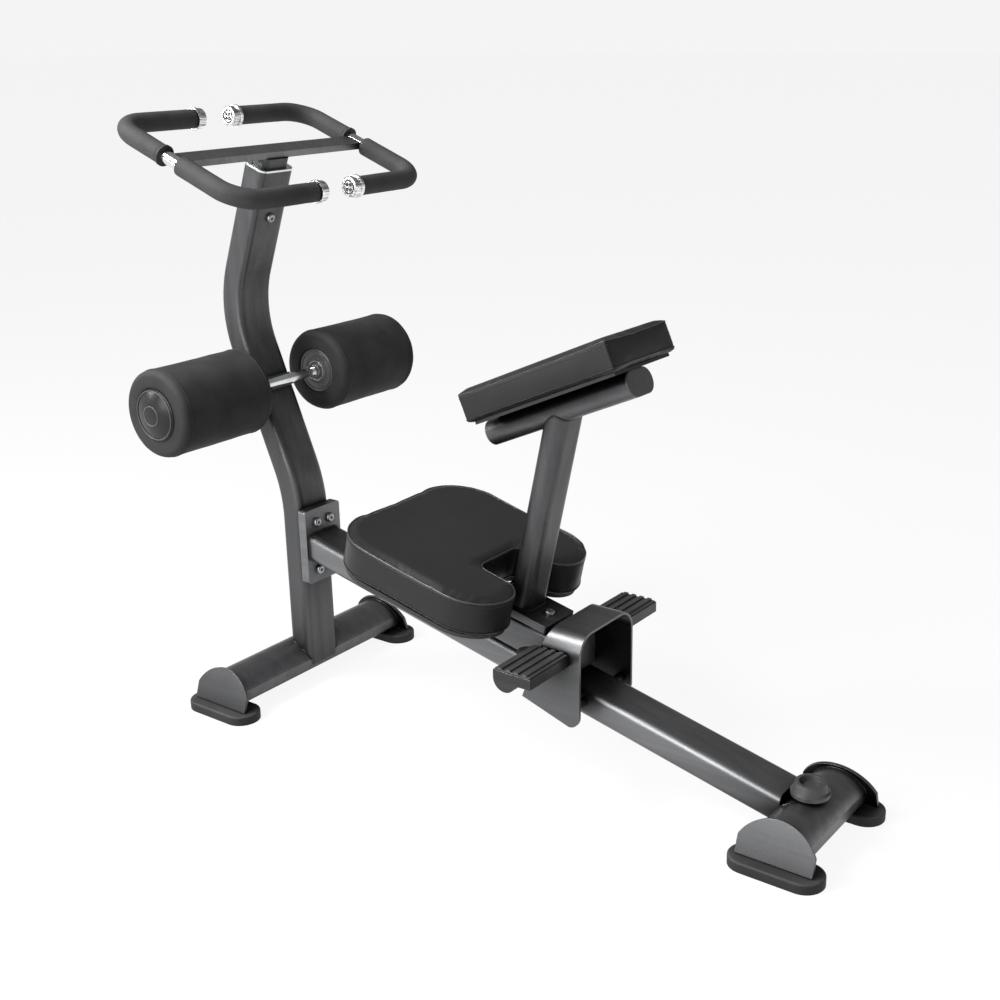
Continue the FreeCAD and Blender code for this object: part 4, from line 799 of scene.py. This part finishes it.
# the lobed pattern on a handlebar cap: a dark ring round its edge and small rings inside it
EDGE_RING_THICKNESS, LOBE_THICKNESS = 0.0012, 0.0013
LOBE_COUNT, LOBE_REACH, LOBE_RADIUS = 4, 0.0062, 0.0022
rail_low, rail_high = local_box("handle_tube_left", RING)
cap_face = np.abs(coordinates(NODES["handle_end_caps"].data)[:, 1]).min()
for end, rail in (("rear", rail_low.x + BAR_RADIUS), ("front", rail_high.x - BAR_RADIUS)):
    for side, sign in (("left", 1), ("right", -1)):
        middle = RING @ Vector((rail, sign * cap_face, 0))
        ring_at(f"handle_cap_ring_{end}_{side}", middle, BAR_RADIUS, EDGE_RING_THICKNESS,
                "black_rubber", "frame")
        for number in range(LOBE_COUNT):
            angle = math.radians(45 + 360 / LOBE_COUNT * number)
            spot = middle + Vector((math.cos(angle), 0, math.sin(angle))) * LOBE_REACH
            ring_at(f"handle_cap_lobe_{end}_{side}_{number}", spot, LOBE_RADIUS, LOBE_THICKNESS,
                    "black_rubber", "frame")

# ---------------------------------------------------------------- stage, lights and camera
GLOW_LOW, GLOW_HIGH = 0.960, 0.905
GLOW_STRENGTH = 1.116
GLOW_SHARE = 0.86
FLOOR_REACH = 60.0
HORIZON_LIGHT, OVERHEAD_LIGHT, HORIZON_BAND = 0.80, 0.22, 0.22


def window_glow(tree):
    """A glow that is a little greyer towards the top of the picture."""
    split = add(tree, "ShaderNodeSeparateXYZ")
    tree.links.new(add(tree, "ShaderNodeTexCoord").outputs["Window"], split.inputs["Vector"])
    return ramp(tree, split.outputs["Y"], GLOW_LOW, GLOW_HIGH, start=0.0, end=1.0)


def backdrop_material():
    """A pale floor that glows softly, so that the object's own shadow stays faint."""
    material, tree, shader = new_material("pale_floor")
    shader.inputs["Base Color"].default_value = (0.8, 0.8, 0.8, 1)
    shader.inputs["Roughness"].default_value = 0.9
    glow = add(tree, "ShaderNodeEmission", Strength=GLOW_STRENGTH)
    tree.links.new(window_glow(tree), glow.inputs["Color"])
    blend = add(tree, "ShaderNodeMixShader")
    blend.inputs["Fac"].default_value = GLOW_SHARE
    tree.links.new(shader.outputs["BSDF"], blend.inputs[1])
    tree.links.new(glow.outputs["Emission"], blend.inputs[2])
    tree.links.new(blend.outputs["Shader"], tree.nodes["Material Output"].inputs["Surface"])
    return material


def stage_floor():
    """A wide, level floor."""
    builder = bmesh.new()
    bmesh.ops.create_grid(builder, x_segments=2, y_segments=2, size=FLOOR_REACH)
    mesh = bpy.data.meshes.new("studio_floor")
    builder.to_mesh(mesh)
    builder.free()
    floor = link("studio_floor", mesh)
    mesh.materials.append(backdrop_material())


def soft_light(name, place, aim, size, power):
    """A rectangular lamp at a place, aimed at a point; sizes in metres, power in watts."""
    data = bpy.data.lights.new(name, "AREA")
    data.shape = "RECTANGLE"
    data.size, data.size_y = size
    data.energy = power
    lamp = bpy.data.objects.new(name, data)
    lamp.location = place
    lamp.rotation_euler = (Vector(aim) - Vector(place)).to_track_quat("-Z", "Y").to_euler()
    SCENE.collection.objects.link(lamp)


def studio_world():
    """Light from the horizon, dimmer overhead; the camera itself sees the floor's glow."""
    world = bpy.data.worlds.new("studio")
    SCENE.world = world
    world.use_nodes = True
    tree = world.node_tree
    split = add(tree, "ShaderNodeSeparateXYZ")
    tree.links.new(add(tree, "ShaderNodeTexCoord").outputs["Generated"], split.inputs["Vector"])
    sky = tree.nodes["Background"]
    fade = ramp(tree, split.outputs["Z"], HORIZON_LIGHT, OVERHEAD_LIGHT, 0.0, HORIZON_BAND)
    tree.links.new(fade, sky.inputs["Color"])
    seen = add(tree, "ShaderNodeBackground")
    tree.links.new(window_glow(tree), seen.inputs["Color"])
    choose = add(tree, "ShaderNodeMixShader")
    tree.links.new(add(tree, "ShaderNodeLightPath").outputs["Is Camera Ray"], choose.inputs["Fac"])
    tree.links.new(sky.outputs["Background"], choose.inputs[1])
    tree.links.new(seen.outputs["Background"], choose.inputs[2])
    tree.links.new(choose.outputs["Shader"], tree.nodes["World Output"].inputs["Surface"])


stage_floor()
studio_world()
SCENE.view_settings.view_transform = "Standard"
MIDDLE = (CAD_BOUNDS[0] + CAD_BOUNDS[1]) / 2
soft_light("key", (-0.7, -3.1, 1.75), MIDDLE, (2.3, 2.3), 110.0)
soft_light("top", (-1.9, -1.9, 3.2), MIDDLE, (1.4, 1.0), 115.0)
soft_light("side", (-2.6, -1.85, 1.4), MIDDLE, (0.45, 0.45), 14.0)

CAMERA_PLACE = (1.52845, -2.00643, 1.3580)
CAMERA_AZIMUTH = 35.64
CAMERA_ELEVATION = 18.45
CAMERA_ROLL = -0.59
camera_data = bpy.data.cameras.new("camera")
camera_data.lens = 50.70
camera_data.shift_x = -0.0431
camera_data.shift_y = -0.0077
camera = bpy.data.objects.new("camera", camera_data)
camera.matrix_world = (Matrix.Translation(CAMERA_PLACE)
                       @ Matrix.Rotation(math.radians(CAMERA_AZIMUTH), 4, "Z")
                       @ Matrix.Rotation(math.radians(90 - CAMERA_ELEVATION), 4, "X")
                       @ Matrix.Rotation(math.radians(CAMERA_ROLL), 4, "Z"))
SCENE.collection.objects.link(camera)
SCENE.camera = camera
